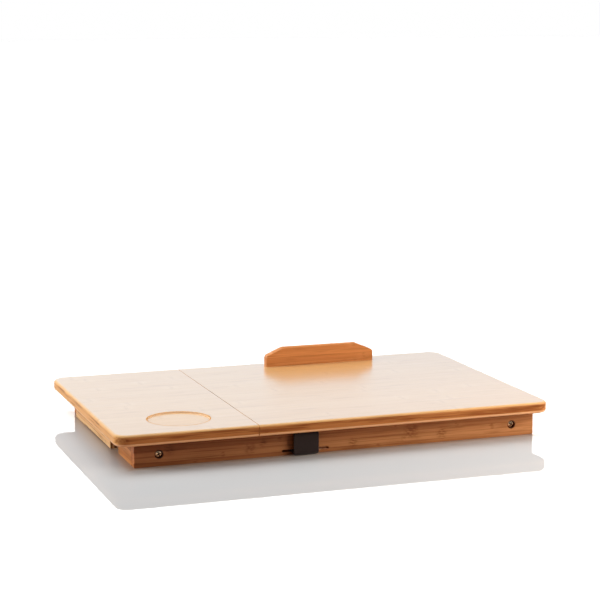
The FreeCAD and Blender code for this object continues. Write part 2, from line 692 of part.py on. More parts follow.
# Cleat under the seam, fixed to the fixed panel and carrying the tilting panel's end
cleat_half = f"({post_inner} - dims.cleat_side_gap)"
cleat_low = "(dims.rail_height - dims.cleat_thickness)"
cleat_screw_off = f"({cleat_half} - dims.cleat_screw_inset)"
cleat_screws = []
for name, place in (("rear", minus(cleat_screw_off)), ("middle", "0"), ("front", cleat_screw_off)):
    at_x = f"({seam_left} - dims.cleat_width / 4)"
    cleat_screws.append(wood_screw(f"cleat_screw_{name}", "+z", "dims.cleat_screw_length",
                                   at_x, place, cleat_low))
cleat_span = middle_span(f"({seam_left} + dims.seam_gap / 2)", "dims.cleat_width")
cleat_blank = plank("cleat_blank", cleat_span, (minus(cleat_half), cleat_half),
                    (cleat_low, "dims.rail_height"))
keep("seam_cleat", cut("cleat_drilled", cleat_blank, cleat_screws))
keep("cleat_screws", group("cleat_screw_set", cleat_screws))


# Top panels: rounded outer corners and rim, square at the seam
def top_panel(name, x_span, seam):
    y_span = (rear_edge, front_edge)
    body = padded_body(name, "XY_Plane", rectangle(x_span, y_span), "dims.panel_thickness")
    body.setExpression("Placement.Base.z", "dims.rail_height")
    seam_place = value(seam)

    def off_seam(edge):
        return any(abs(vertex.X - seam_place) > 1e-6 for vertex in edge.Vertexes)

    def outer_corner(edge):
        return runs_along(edge, "z") and off_seam(edge)

    def rim(edge):
        return not runs_along(edge, "z") and off_seam(edge)

    ease(body, f"{name}_corners", "dims.corner_radius", outer_corner)
    return ease(body, f"{name}_rim", "dims.rim_radius", rim)


fixed_blank = top_panel("fixed_panel_blank", (left_edge, seam_left), seam_left)
cup_x = f"({left_edge} + dims.cup_from_left)"
cup_y = f"({rear_edge} + dims.cup_from_rear)"
cup_well = rod("cup_well", "-z", "dims.cup_radius", "dims.cup_depth", cup_x, cup_y, top_face)
cup_rim = doc.addObject("Part::Cone", "cup_rim")
turn_to(cup_rim, "-z")
cup_rim.setExpression("Radius1", "dims.cup_radius + dims.cup_bevel")
cup_rim.setExpression("Radius2", "dims.cup_radius")
cup_rim.setExpression("Height", "dims.cup_bevel")
set_base(cup_rim, cup_x, cup_y, top_face)
keep("fixed_panel", cut("fixed_panel_worked", fixed_blank, [cup_well, cup_rim, *cleat_screws]))

tilt_blank = top_panel("tilt_panel_blank", (seam_right, right_edge), seam_right)
stopper_y = (f"({front_edge} - dims.stopper_from_front - dims.stopper_thickness)",
             f"({front_edge} - dims.stopper_from_front)")
peg_y = f"({stopper_y[1]} - dims.stopper_thickness / 2)"
stopper_middle = f"({panel_middle} + dims.stopper_offset)"
pegs = []
peg_holes = []
for name, sign in (("left", "-"), ("right", "+")):
    at_x = f"({stopper_middle} {sign} dims.peg_spread)"
    pegs.append(rod(f"peg_{name}", "-z", "dims.peg_radius", "dims.peg_length", at_x, peg_y, top_face))
    peg_holes.append(rod(f"peg_hole_{name}", "-z", "dims.peg_radius + dims.peg_clearance",
                         "dims.peg_length + dims.peg_end_gap", at_x, peg_y, top_face))
keep("stopper_pegs", group("peg_pair", pegs))
tilt_tools = list(peg_holes)
for side in hinge_middles:
    tilt_tools.extend(leaf_pieces[side]["panel"])
keep("tilt_panel", cut("tilt_panel_worked", tilt_blank, [*tilt_tools, *hinge_screw_sets["panel"]]))

# Stopper board with clipped upper corners
stopper_x = middle_span(stopper_middle, "dims.stopper_length")
stopper_top = f"({top_face} + dims.stopper_height)"
clip_z = f"({stopper_top} - dims.stopper_clip_height)"
stopper_corners = [
    (stopper_x[0], top_face),
    (stopper_x[1], top_face),
    (stopper_x[1], clip_z),
    (f"({stopper_x[1]} - dims.stopper_clip_width)", stopper_top),
    (f"({stopper_x[0]} + dims.stopper_clip_width)", stopper_top),
    (stopper_x[0], clip_z),
]
stopper = padded_body("stopper", "XZ_Plane", stopper_corners, "dims.stopper_thickness")
stopper.setExpression("Placement.Base.y", stopper_y[1])
ease(stopper, "stopper_corners", "dims.stopper_corner_radius",
     lambda edge: runs_along(edge, "y") and edge.CenterOfMass.z > value(top_face) + 1e-6)
ease(stopper, "stopper_edges", "dims.edge_break",
     lambda edge: not runs_along(edge, "y") and edge.CenterOfMass.z > value(top_face) + 1e-6)
keep("stopper_board", stopper)

# Drawer between the left leg's posts, on runners under the fixed panel, with a finger gap at its rear end
box_x = f"({drawer_face} + dims.drawer_front_thickness)"
box_end = f"({cleat_span[0]} - dims.drawer_back_gap)"
box_half = "(dims.drawer_width / 2 - dims.drawer_side_setback)"
box_inner = f"({box_half} - dims.drawer_side_thickness)"
box_low = "dims.drawer_box_lift"
box_top = f"({box_low} + dims.drawer_box_height)"
back_x = f"({box_end} - dims.drawer_side_thickness)"
floor_low = f"({box_low} + dims.drawer_floor_lift)"


def beside(sign, distance):
    return f"(dims.drawer_offset {sign} {distance})"


inside_box = (beside("-", box_inner), beside("+", box_inner))
keep("drawer_front", plank("drawer_facing", (drawer_face, box_x),
                           middle_span("dims.drawer_offset", "dims.drawer_width"),
                           ("dims.drawer_front_lift", "dims.rail_height - dims.drawer_front_lift")))
keep("drawer_side_rear", plank("drawer_wall_rear", (box_x, box_end),
                               (beside("-", box_half), inside_box[0]), (box_low, box_top)))
keep("drawer_side_front", plank("drawer_wall_front", (box_x, box_end),
                                (inside_box[1], beside("+", box_half)), (box_low, box_top)))
keep("drawer_back", plank("drawer_wall_back", (back_x, box_end), inside_box, (box_low, box_top)))
keep("drawer_floor", block("drawer_sheet", (box_x, back_x), inside_box,
                           (floor_low, f"({floor_low} + dims.drawer_floor_thickness)")))
ledge_top = f"({box_low} - dims.drawer_gap)"
ledge_low = f"({ledge_top} - dims.runner_ledge_thickness)"
cheek = f"({box_half} + dims.drawer_gap)"
cheek_out = f"({cheek} + dims.runner_thickness)"
ledge_in = f"({cheek} - dims.runner_ledge)"
runner_end = f"({cleat_span[0]} - dims.runner_end_gap)"
for end, sign in (("rear", "-"), ("front", "+")):
    section = [
        (beside(sign, cheek_out), ledge_low),
        (beside(sign, ledge_in), ledge_low),
        (beside(sign, ledge_in), ledge_top),
        (beside(sign, cheek), ledge_top),
        (beside(sign, cheek), "dims.rail_height"),
        (beside(sign, cheek_out), "dims.rail_height"),
    ]
    runner = padded_body(f"runner_{end}", "YZ_Plane", section, f"{runner_end} - {inner_left}")
    runner.setExpression("Placement.Base.x", inner_left)
    keep(f"drawer_runner_{end}", runner)

doc.recompute()
faults = [item.Name for item in doc.Objects if {"Invalid", "Error"} & set(item.State)]
for label, item in nodes.items():
    if item.Label != label:
        faults.append(f"{label} is named {item.Label}")
    if item.Shape.isNull() or not item.Shape.isValid() or not item.Shape.Solids:
        faults.append(f"{label} has no sound shape")
if faults:
    raise RuntimeError("not built: " + ", ".join(faults))

os.makedirs("parts", exist_ok=True)
for label, item in nodes.items():
    item.Shape.exportStep(f"parts/{label}.step")
    print(label, len(item.Shape.Solids), round(item.Shape.Volume))
print(len(nodes), "nodes written")
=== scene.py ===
import json
import math
import bmesh
import bpy
from mathutils import Matrix, Vector


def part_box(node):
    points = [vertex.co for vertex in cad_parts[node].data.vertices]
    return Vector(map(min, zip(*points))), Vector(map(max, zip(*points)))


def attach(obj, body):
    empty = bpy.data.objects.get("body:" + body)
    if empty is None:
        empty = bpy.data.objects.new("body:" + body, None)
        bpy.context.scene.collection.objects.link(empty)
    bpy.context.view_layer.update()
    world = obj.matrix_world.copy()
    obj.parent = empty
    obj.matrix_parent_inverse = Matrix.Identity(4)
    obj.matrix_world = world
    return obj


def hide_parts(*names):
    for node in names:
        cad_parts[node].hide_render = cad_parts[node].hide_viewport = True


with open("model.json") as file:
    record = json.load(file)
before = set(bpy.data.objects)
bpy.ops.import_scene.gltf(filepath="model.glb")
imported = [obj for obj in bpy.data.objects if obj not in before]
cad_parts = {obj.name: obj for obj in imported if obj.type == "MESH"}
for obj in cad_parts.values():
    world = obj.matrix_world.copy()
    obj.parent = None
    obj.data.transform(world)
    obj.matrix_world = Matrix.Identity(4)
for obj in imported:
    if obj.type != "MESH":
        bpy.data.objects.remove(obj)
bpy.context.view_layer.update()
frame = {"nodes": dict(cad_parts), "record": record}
nodes = frame["nodes"]
print("frame loaded:", len(nodes), "nodes")


# small helpers for node trees, shader and geometry alike
def addNode(tree, kind, inputs=None, **settings):
    node = tree.nodes.new(kind)
    for name, value in settings.items():
        setattr(node, name, value)
    for key, value in (inputs or {}).items():
        feed(tree, node.inputs[key], value)
    return node


def feed(tree, socket, value):
    if isinstance(value, bpy.types.NodeSocket):
        tree.links.new(value, socket)
    else:
        socket.default_value = value


def doMath(tree, operation, a, b=0.0, clamp=False):
    return addNode(tree, "ShaderNodeMath", {0: a, 1: b}, operation=operation, use_clamp=clamp).outputs[0]


def times(tree, a, b):
    return doMath(tree, "MULTIPLY", a, b)


def vectorMath(tree, operation, a, b=(0, 0, 0)):
    outputs = addNode(tree, "ShaderNodeVectorMath", {0: a, 1: b}, operation=operation).outputs
    return outputs["Value" if operation in ("DISTANCE", "LENGTH") else "Vector"]


def axesOf(tree, vector):
    return addNode(tree, "ShaderNodeSeparateXYZ", {0: vector}).outputs


def coordinates(tree, kind):
    return addNode(tree, "ShaderNodeTexCoord").outputs[kind]


# a mark comes in softly between two levels of a value
def ramp(tree, value, start, end, low=0.0, high=1.0):
    return addNode(tree, "ShaderNodeMapRange", {"Value": value, "From Min": start, "From Max": end,
                                                "To Min": low, "To Max": high},
                   interpolation_type="SMOOTHSTEP").outputs["Result"]


def mixColour(tree, factor, a, b, blend="MIX"):
    node = addNode(tree, "ShaderNodeMix", {0: factor, 6: a, 7: b}, data_type="RGBA", blend_type=blend)
    return node.outputs[2]


def toned(tree, colour, tone):
    return mixColour(tree, 1.0, colour, tone, "MULTIPLY")


def stretched(tree, vector, scale, detail=2.0, rough=0.55):
    placed = addNode(tree, "ShaderNodeMapping", {"Vector": vector, "Scale": scale}).outputs[0]
    return addNode(tree, "ShaderNodeTexNoise", {"Vector": placed, "Scale": 1.0, "Detail": detail,
                                                "Roughness": rough}).outputs[0]


def makeGroup(name, kind, inputs, outputs):
    tree = bpy.data.node_groups.new(name, kind)
    for label, (socketType, value) in inputs.items():
        socket = tree.interface.new_socket(name=label, in_out="INPUT", socket_type=socketType)
        if value is not None:
            socket.default_value = value
    for label, socketType in outputs.items():
        tree.interface.new_socket(name=label, in_out="OUTPUT", socket_type=socketType)
    return tree, tree.nodes.new("NodeGroupInput").outputs, tree.nodes.new("NodeGroupOutput").inputs


def startMaterial(name):
    material = bpy.data.materials.new(name)
    material.use_nodes = True
    tree = material.node_tree
    tree.nodes.clear()
    shader = tree.nodes.new("ShaderNodeBsdfPrincipled")
    tree.links.new(shader.outputs[0], tree.nodes.new("ShaderNodeOutputMaterial").inputs["Surface"])
    return material, tree, shader


def addBump(tree, shader, height, relief, invert=False):
    strength, distance = relief
    bump = addNode(tree, "ShaderNodeBump", {"Strength": strength, "Distance": distance, "Height": height},
                   invert=invert)
    feed(tree, shader.inputs["Normal"], bump.outputs[0])


# laminated bamboo: strips with their own tone, fibres along the grain, nodes and glue lines
# noise scales along, across and through a strip, sizes in metres, shares of the darker tone
grainShape = {
    "fibre": (14, 1100, 1100), "coarse": (9, 380, 380), "bundle": (2.4, 170, 170), "fleck": (60, 2600, 2600),
    "stain": (16, 150, 150), "waver": (25, 420, 420), "ragged": (180, 640, 640),
    "stripJump": (7.3, 3.1, 5.7), "waverReach": 0.006, "nodeHalf": 0.0045, "nodeBand": (0.002, 0.016),
    "glue": 0.0003,
    "shade": (0.62, 0.55, 0.48, 1), "fleckShare": 0.3, "bandShare": 0.22, "glueShare": 0.45,
    "roughSwing": 0.22, "roughBase": 0.26, "bandLift": 0.5, "glueSink": 0.8, "bump": (0.35, 0.00012),
}


def buildBambooGrain():
    number, colour, vector = "NodeSocketFloat", "NodeSocketColor", "NodeSocketVector"
    tree, given, result = makeGroup("bambooGrain", "ShaderNodeTree", {
        "Vector": (vector, None),
        "Strip Width": (number, 0.019),
        "Strip Depth": (number, 0.005),
        "Node Spacing": (number, 0.24),
        "Seed": (number, 0.0),
        "Light": (colour, (0.83, 0.52, 0.25, 1)),
        "Middle": (colour, (0.76, 0.44, 0.18, 1)),
        "Dark": (colour, (0.64, 0.33, 0.12, 1)),
        "Fibre": (number, 0.25),
        "Node Mark": (number, 0.4),
        "Strip Contrast": (number, 0.6),
        "Layer Joint": (number, 0.0003),
        "Smudge": (number, 0.2),
    }, {"Color": colour, "Roughness": number, "Height": number})
    axes = axesOf(tree, given["Vector"])
    across = doMath(tree, "DIVIDE", axes["Y"], given["Strip Width"])
    deep = doMath(tree, "DIVIDE", axes["Z"], given["Strip Depth"])
    cell = addNode(tree, "ShaderNodeCombineXYZ", {"X": doMath(tree, "FLOOR", across),
                                                  "Y": doMath(tree, "FLOOR", deep),
                                                  "Z": given["Seed"]}).outputs[0]
    chance = addNode(tree, "ShaderNodeTexWhiteNoise", {"Vector": cell}, noise_dimensions="3D").outputs
    shift = vectorMath(tree, "MULTIPLY", chance["Color"], grainShape["stripJump"])
    own = vectorMath(tree, "ADD", given["Vector"], shift)
    fine = stretched(tree, own, grainShape["fibre"], 3.0, 0.6)
    coarse = stretched(tree, own, grainShape["coarse"])
    broad = stretched(tree, own, grainShape["bundle"], 2.0, 0.5)
    flecks = stretched(tree, own, grainShape["fleck"], 1.0, 0.5)  # dark vessel ends
    smudge = ramp(tree, stretched(tree, own, grainShape["stain"]), 0.56, 0.74)

    # a node crosses each strip at its own place, as a ragged smudge in a paler swelling
    waver = times(tree, stretched(tree, own, grainShape["waver"], 1.0), grainShape["waverReach"])
    along = doMath(tree, "ADD", axesOf(tree, own)["X"], waver)
    step = doMath(tree, "FRACT", doMath(tree, "DIVIDE", along, given["Node Spacing"]))
    gap = times(tree, doMath(tree, "ABSOLUTE", doMath(tree, "SUBTRACT", step, 0.5)), given["Node Spacing"])
    ragged = ramp(tree, stretched(tree, own, grainShape["ragged"]), 0.35, 0.65)
    nodeLine = times(tree, ramp(tree, gap, 0.0, grainShape["nodeHalf"], 1.0, 0.0), ragged)
    nodeBand = ramp(tree, gap, *grainShape["nodeBand"], 1.0, 0.0)

    # glue lines between strips and between layers
    def glueLine(place, size, width):
        part = doMath(tree, "FRACT", place)
        edge = doMath(tree, "MINIMUM", part, doMath(tree, "SUBTRACT", 1.0, part))
        return ramp(tree, times(tree, edge, size), 0.0, width, 1.0, 0.0)

    glue = doMath(tree, "MAXIMUM", glueLine(across, given["Strip Width"], grainShape["glue"]),
                  glueLine(deep, given["Strip Depth"], given["Layer Joint"]))

    lean = times(tree, doMath(tree, "SUBTRACT", chance["Value"], 0.5), given["Strip Contrast"])
    sway = times(tree, doMath(tree, "SUBTRACT", broad, 0.5), given["Strip Contrast"])
    tone = doMath(tree, "ADD", doMath(tree, "ADD", lean, 0.52), sway)
    wood = mixColour(tree, ramp(tree, tone, 0.12, 0.5), given["Dark"], given["Middle"])
    wood = mixColour(tree, ramp(tree, tone, 0.5, 0.95), wood, given["Light"])
    dim = toned(tree, given["Dark"], grainShape["shade"])
    fibres = doMath(tree, "ADD", ramp(tree, fine, 0.52, 0.78), ramp(tree, coarse, 0.5, 0.72))
    vessels = times(tree, ramp(tree, flecks, 0.62, 0.8), grainShape["fleckShare"])
    streak = doMath(tree, "ADD", times(tree, fibres, given["Fibre"]), vessels, clamp=True)
    wood = mixColour(tree, streak, wood, dim)
    wood = mixColour(tree, times(tree, smudge, given["Smudge"]), wood, dim)
    wood = mixColour(tree, times(tree, nodeBand, grainShape["bandShare"]), wood, given["Light"])
    mark = times(tree, nodeLine, given["Node Mark"])
    mark = doMath(tree, "MAXIMUM", mark, times(tree, glue, grainShape["glueShare"]))
    feed(tree, result["Color"], mixColour(tree, mark, wood, dim))
    rough = times(tree, fine, grainShape["roughSwing"])
    feed(tree, result["Roughness"], doMath(tree, "ADD", rough, grainShape["roughBase"]))
    raised = doMath(tree, "ADD", fine, times(tree, nodeBand, grainShape["bandLift"]))
    feed(tree, result["Height"], doMath(tree, "SUBTRACT", raised, times(tree, glue, grainShape["glueSink"])))
    return tree


# worn plating: blotches of tone, fine scratches
platingShape = {"scratch": (260, 4200, 4200), "wornRough": 0.16, "scratchRough": 0.3, "blotchLift": 0.4,
                "bump": (0.3, 0.00005)}


def buildPlating():
    number, colour, vector = "NodeSocketFloat", "NodeSocketColor", "NodeSocketVector"
    tree, given, result = makeGroup("wornPlating", "ShaderNodeTree", {
        "Vector": (vector, None),
        "Bright": (colour, (0.7, 0.7, 0.68, 1)),
        "Dull": (colour, (0.5, 0.5, 0.48, 1)),
        "Blotch Size": (number, 0.004),
        "Scratch": (number, 0.3),
        "Haze": (number, 0.2),
    }, {"Color": colour, "Roughness": number, "Height": number})
    spread = vectorMath(tree, "MULTIPLY", given["Vector"], doMath(tree, "DIVIDE", 1.0, given["Blotch Size"]))
    blotch = addNode(tree, "ShaderNodeTexNoise", {"Vector": spread, "Scale": 1.0, "Detail": 4.0}).outputs[0]
    scratch = stretched(tree, given["Vector"], platingShape["scratch"])
    worn = ramp(tree, blotch, 0.35, 0.68)
    feed(tree, result["Color"], mixColour(tree, worn, given["Bright"], given["Dull"]))
    lines = times(tree, ramp(tree, scratch, 0.55, 0.75), given["Scratch"])
    rough = doMath(tree, "ADD", times(tree, lines, platingShape["scratchRough"]), given["Haze"])
    rough = doMath(tree, "ADD", times(tree, worn, platingShape["wornRough"]), rough)
    feed(tree, result["Roughness"], rough)
    raised = times(tree, blotch, platingShape["blotchLift"])
    feed(tree, result["Height"], doMath(tree, "SUBTRACT", raised, lines))
    return tree


bambooGrain = buildBambooGrain()
wornPlating = buildPlating()

# tones of the bamboo, linear
topTones = {"Light": (0.77, 0.505, 0.235, 1), "Middle": (0.70, 0.43, 0.18, 1),
            "Dark": (0.60, 0.34, 0.125, 1)}
paleTones = {"Light": (0.84, 0.56, 0.28, 1), "Middle": (0.77, 0.47, 0.215, 1),
             "Dark": (0.66, 0.37, 0.15, 1)}
warmTones = {"Light": (0.48, 0.235, 0.10, 1), "Middle": (0.41, 0.185, 0.077, 1),
             "Dark": (0.30, 0.12, 0.045, 1)}
drawerTones = {"Light": (0.90, 0.62, 0.33, 1), "Middle": (0.83, 0.51, 0.24, 1),
               "Dark": (0.56, 0.28, 0.105, 1)}
stopperTones = {"Light": (0.74, 0.35, 0.14, 1), "Middle": (0.66, 0.275, 0.098, 1),
                "Dark": (0.52, 0.195, 0.065, 1)}

# how a group of pieces is finished: grain marks, then lacquer as weights on its sides and on its top
topLook = {"fibre": 0.09, "mark": 0.3, "smudge": 0.22, "joint": 0.0009, "contrast": 0.2, "coat": (0.08, 1.0),
           "coatRough": 0.19, "specular": 0.5}
railLook = {"fibre": 0.6, "mark": 0.7, "smudge": 0.5, "joint": 0.0003, "contrast": 0.7, "coat": (0.05, 0.2),
            "coatRough": 0.25, "specular": 0.15}
stopperLook = {"fibre": 0.45, "mark": 0.4, "smudge": 0.4, "joint": 0.0003, "contrast": 0.55,
               "coat": (0.03, 0.0), "coatRough": 0.2, "specular": 0.0}
legLook = {"fibre": 0.35, "mark": 0.4, "smudge": 0.3, "joint": 0.0003, "contrast": 0.5, "coat": (0.2, 0.2),
           "coatRough": 0.22, "specular": 0.3}
innerLook = {"fibre": 0.35, "mark": 0.3, "smudge": 0.25, "joint": 0.0003, "contrast": 0.5,
             "coat": (0.1, 0.1), "coatRough": 0.3, "specular": 0.3}
drawerLook = {"fibre": 0.75, "mark": 0.5, "smudge": 0.6, "joint": 0.0003, "contrast": 0.9,
              "coat": (0.1, 0.1), "coatRough": 0.3, "specular": 0.3}

# each wooden finish: along and across axes of its strips, their sizes, place and node spacing
bambooFinishes = {
    "bambooTop": {
        "grain": ("X", "Y"), "strip": (0.0192, 0.0104), "shift": (0.0, 0.0035, -0.0393), "seed": 3.0,
        "spacing": 0.31, "tones": topTones, "look": topLook, "nodes": ("fixed_panel", "tilt_panel"),
    },
    "bambooLongRail": {
        "grain": ("X", "Z"), "strip": (0.0062, 0.0301), "shift": (0.0, 0.0012, 0.0), "seed": 11.0,
        "spacing": 0.23, "tones": warmTones, "look": railLook, "nodes": ("rear_rail", "front_rail"),
        "scars": ((-0.207, 0.019, 0.009), (-0.109, 0.012, 0.010), (-0.093, 0.017, 0.007),
                  (0.097, 0.017, 0.013), (0.137, 0.011, 0.010), (0.021, 0.009, 0.008)),
        # painted light: darker towards the left end of the rail, paler towards the right
        "paintedLightRamp": {"reach": (-0.26, 0.27), "start": (0.77, 0.69, 0.69, 1), "end": (1.2, 1.24, 1.22, 1)},
        # painted light on the faces that point along X
        "sideLightTone": (1.7, 1.6, 1.45, 1),
    },
    "bambooEndRail": {
        "grain": ("Y", "Z"), "strip": (0.0062, 0.0301), "shift": (0.0, 0.0012, 0.004), "seed": 17.0,
        "spacing": 0.23, "tones": warmTones, "look": railLook,
        # painted light on the faces that point along X
        "nodes": ("right_end_rail", "centre_rail", "left_end_rail_rear"), "sideLightTone": (1.34, 1.22, 1.0, 1),
    },
    "bambooStopper": {
        "grain": ("X", "Z"), "strip": (0.0071, 0.0301), "shift": (0.0, 0.0011, 0.0), "seed": 23.0,
        "spacing": 0.21, "tones": stopperTones, "look": stopperLook, "nodes": ("stopper_board",),
    },
    "bambooPeg": {
        "grain": ("Z", "X"), "strip": (0.0049, 0.0053), "shift": (0.0, 0.0013, 0.0011), "seed": 29.0,
        "spacing": 0.2, "tones": paleTones, "look": innerLook, "nodes": ("stopper_pegs",),
    },
    "bambooLegPost": {
        "grain": ("X", "Z"), "strip": (0.0057, 0.0161), "shift": (0.0, 0.0009, 0.0021), "seed": 31.0,
        "spacing": 0.25, "tones": warmTones, "look": legLook,
        "nodes": ("left_leg_rear_post", "left_leg_front_post",
                  "right_leg_rear_post", "right_leg_front_post"),
    },
    "bambooCrossBar": {
        "grain": ("Y", "X"), "strip": (0.0059, 0.0119), "shift": (0.0, 0.0007, 0.0023), "seed": 37.0,
        "spacing": 0.25, "tones": warmTones, "look": legLook,
        "nodes": ("left_leg_foot_bar", "right_leg_foot_bar", "seam_cleat"),
    },
    "bambooDrawerFront": {
        "grain": ("Y", "Z"), "strip": (0.0066, 0.0141), "shift": (0.0, 0.0008, 0.0031), "seed": 41.0,
        "spacing": 0.22, "tones": drawerTones, "look": drawerLook,
        "nodes": ("drawer_front", "drawer_back", "left_end_rail_front"),
        "endBand": {"start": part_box("drawer_front")[0].x + 0.0031, "width": 0.0068,
                    "tone": (0.3, 0.22, 0.18, 1)},
    },
    "bambooInner": {
        "grain": ("X", "Z"), "strip": (0.0061, 0.0083), "shift": (0.0, 0.0005, 0.0027), "seed": 43.0,
        "spacing": 0.22, "tones": paleTones, "look": innerLook,
        "nodes": ("drawer_side_rear", "drawer_side_front", "drawer_runner_rear", "drawer_runner_front"),
    },
    "bambooLadder": {
        "grain": ("X", "Y"), "strip": (0.0078, 0.0091), "shift": (0.0, 0.0005, 0.0013), "seed": 47.0,
        "spacing": 0.22, "tones": paleTones, "look": innerLook, "nodes": ("ladder_board",),
    },
}


def grainTurn(along, across):
    unit = {"X": Vector((1, 0, 0)), "Y": Vector((0, 1, 0)), "Z": Vector((0, 0, 1))}
    first, second = unit[along], unit[across]
    return Matrix((first, second, first.cross(second))).to_euler()


sideGloss = 0.1  # specular level of sides and undersides

# the panels' edges: end grain at the short sides; painted light and shade, paler short sides and deeper long
# sides; a painted highlight on the lower arris
panelEdge = {"end": (1.04, 0.92, 0.80, 1), "long": (0.67, 0.455, 0.335, 1), "arris": (1.0, 0.66, 0.38, 1),
             "arrisShare": 0.9, "endGrain": (420, 16, 420), "longGrain": (14, 420, 420),
             "streak": (0.55, 0.43, 0.34, 1), "offCup": (0.003, 0.006)}
cup = next(mount for mount in frame["record"]["mounts"] if mount["name"] == "cup_recess")
# round the recess: a darker ring on the rim, and painted light on the wall
cupEdge = {"ring": (0.82, 0.69, 0.56, 1), "wall": (0.95, 0.74, 0.56, 1), "start": (-0.0003, -0.0001),
           "end": (0.0014, 0.002), "floorCoat": 0.75}


def panelEdges(tree, colour, facing, off, place):
    upward = facing["Z"]
    lengthwise = ramp(tree, doMath(tree, "ABSOLUTE", facing["Y"]), 0.45, 0.95)
    # painted light and shade: the short sides paler, the long sides deeper
    tone = mixColour(tree, lengthwise, panelEdge["end"], panelEdge["long"])
    deeper = toned(tree, colour, tone)
    ends, longs = [stretched(tree, place, panelEdge[side]) for side in ("endGrain", "longGrain")]
    lines = addNode(tree, "ShaderNodeMix", {0: lengthwise, 2: ramp(tree, ends, 0.48, 0.66),
                                            3: ramp(tree, longs, 0.48, 0.66)}).outputs[0]
    deeper = mixColour(tree, lines, deeper, toned(tree, deeper, panelEdge["streak"]))
    outside = ramp(tree, off, *panelEdge["offCup"])
    upright = times(tree, ramp(tree, upward, 0.2, 0.75, 1.0, 0.0), ramp(tree, upward, -0.95, -0.6))
    colour = mixColour(tree, times(tree, upright, outside), colour, deeper)
    # painted highlight on the lower arris, which turns down towards the floor
    turned = times(tree, ramp(tree, upward, -0.05, -0.3), ramp(tree, upward, -0.8, -0.98, 1.0, 0.0))
    return mixColour(tree, times(tree, turned, panelEdge["arrisShare"]), colour, panelEdge["arris"])


# painted light along a rail: darker towards its left end, paler towards its right; node scars (x, z, reach);
# painted shade in the bores of the bolts
railMark = {"scar": (0.42, 0.34, 0.28, 1), "scarGrain": (170, 520, 520), "scarShare": 0.75,
            "bore": (0.16, 0.11, 0.09, 1), "boreReach": (0.0049, 0.0056)}
slotLight = {"off": 0.006, "reach": (0.0105, 0.015), "tone": (0.85, 0.55, 0.36, 1)}


def railMarks(tree, colour, place, facing, finish):
    paintedLightRamp = finish["paintedLightRamp"]
    axes = axesOf(tree, place)
    # painted light, darker to the left and paler to the right along the rail
    paintedLight = mixColour(tree, ramp(tree, axes["X"], *paintedLightRamp["reach"]), paintedLightRamp["start"], paintedLightRamp["end"])
    colour = toned(tree, colour, paintedLight)
    wide = vectorMath(tree, "MULTIPLY", place, (1, 0, 1))
    ragged = ramp(tree, stretched(tree, place, railMark["scarGrain"], 3.0), 0.34, 0.62)
    scarred = toned(tree, colour, railMark["scar"])
    for x, z, reach in finish["scars"]:
        off = vectorMath(tree, "DISTANCE", wide, (x, 0, z))
        mark = times(tree, ramp(tree, off, reach * 0.2, reach, railMark["scarShare"], 0.0), ragged)
        colour = mixColour(tree, mark, colour, scarred)
    # painted shade in and around each bolt's counterbore
    bore = toned(tree, colour, railMark["bore"])
    for name in ("left_leg_bolts", "right_leg_bolts"):
        middle = sum(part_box(name), Vector()) / 2
        off = vectorMath(tree, "DISTANCE", wide, (middle.x, 0, middle.z))
        colour = mixColour(tree, ramp(tree, off, *railMark["boreReach"], 1.0, 0.0), colour, bore)
    # painted light: a pale tone on the floor of the strap's slot, on one side of the strap
    off = doMath(tree, "SUBTRACT", axes["X"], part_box("strap")[1].x + slotLight["off"])
    lit = ramp(tree, doMath(tree, "ABSOLUTE", off), *slotLight["reach"], 1.0, 0.0)
    return mixColour(tree, times(tree, lit, ramp(tree, facing["Z"], 0.8, 0.95)), colour, slotLight["tone"])


# two dark bands across a board's thickness, on its faces that point along Y
def endBands(tree, colour, facing, turned, band):
    deep = axesOf(tree, turned)["Z"]
    off = doMath(tree, "SUBTRACT", deep, band["start"])
    wave = doMath(tree, "COSINE", times(tree, off, 2 * math.pi / band["width"]))
    end = ramp(tree, doMath(tree, "ABSOLUTE", facing["Y"]), 0.7, 0.9)
    dark = toned(tree, colour, band["tone"])
    return mixColour(tree, times(tree, end, ramp(tree, wave, -0.3, 0.3)), colour, dark)


# distance outwards from the wall of the cup recess
def offCup(tree, place):
    x, y = cup["pos_m"][:2]
    reach = vectorMath(tree, "DISTANCE", vectorMath(tree, "MULTIPLY", place, (1, 1, 0)), (x, y, 0))
    return doMath(tree, "SUBTRACT", reach, cup["dims"]["r_mm"] / 1000)


# the cut edge of the recess is bare of lacquer
def cupCut(tree, off):
    return times(tree, ramp(tree, off, *cupEdge["start"]), ramp(tree, off, *cupEdge["end"], 1.0, 0.0))


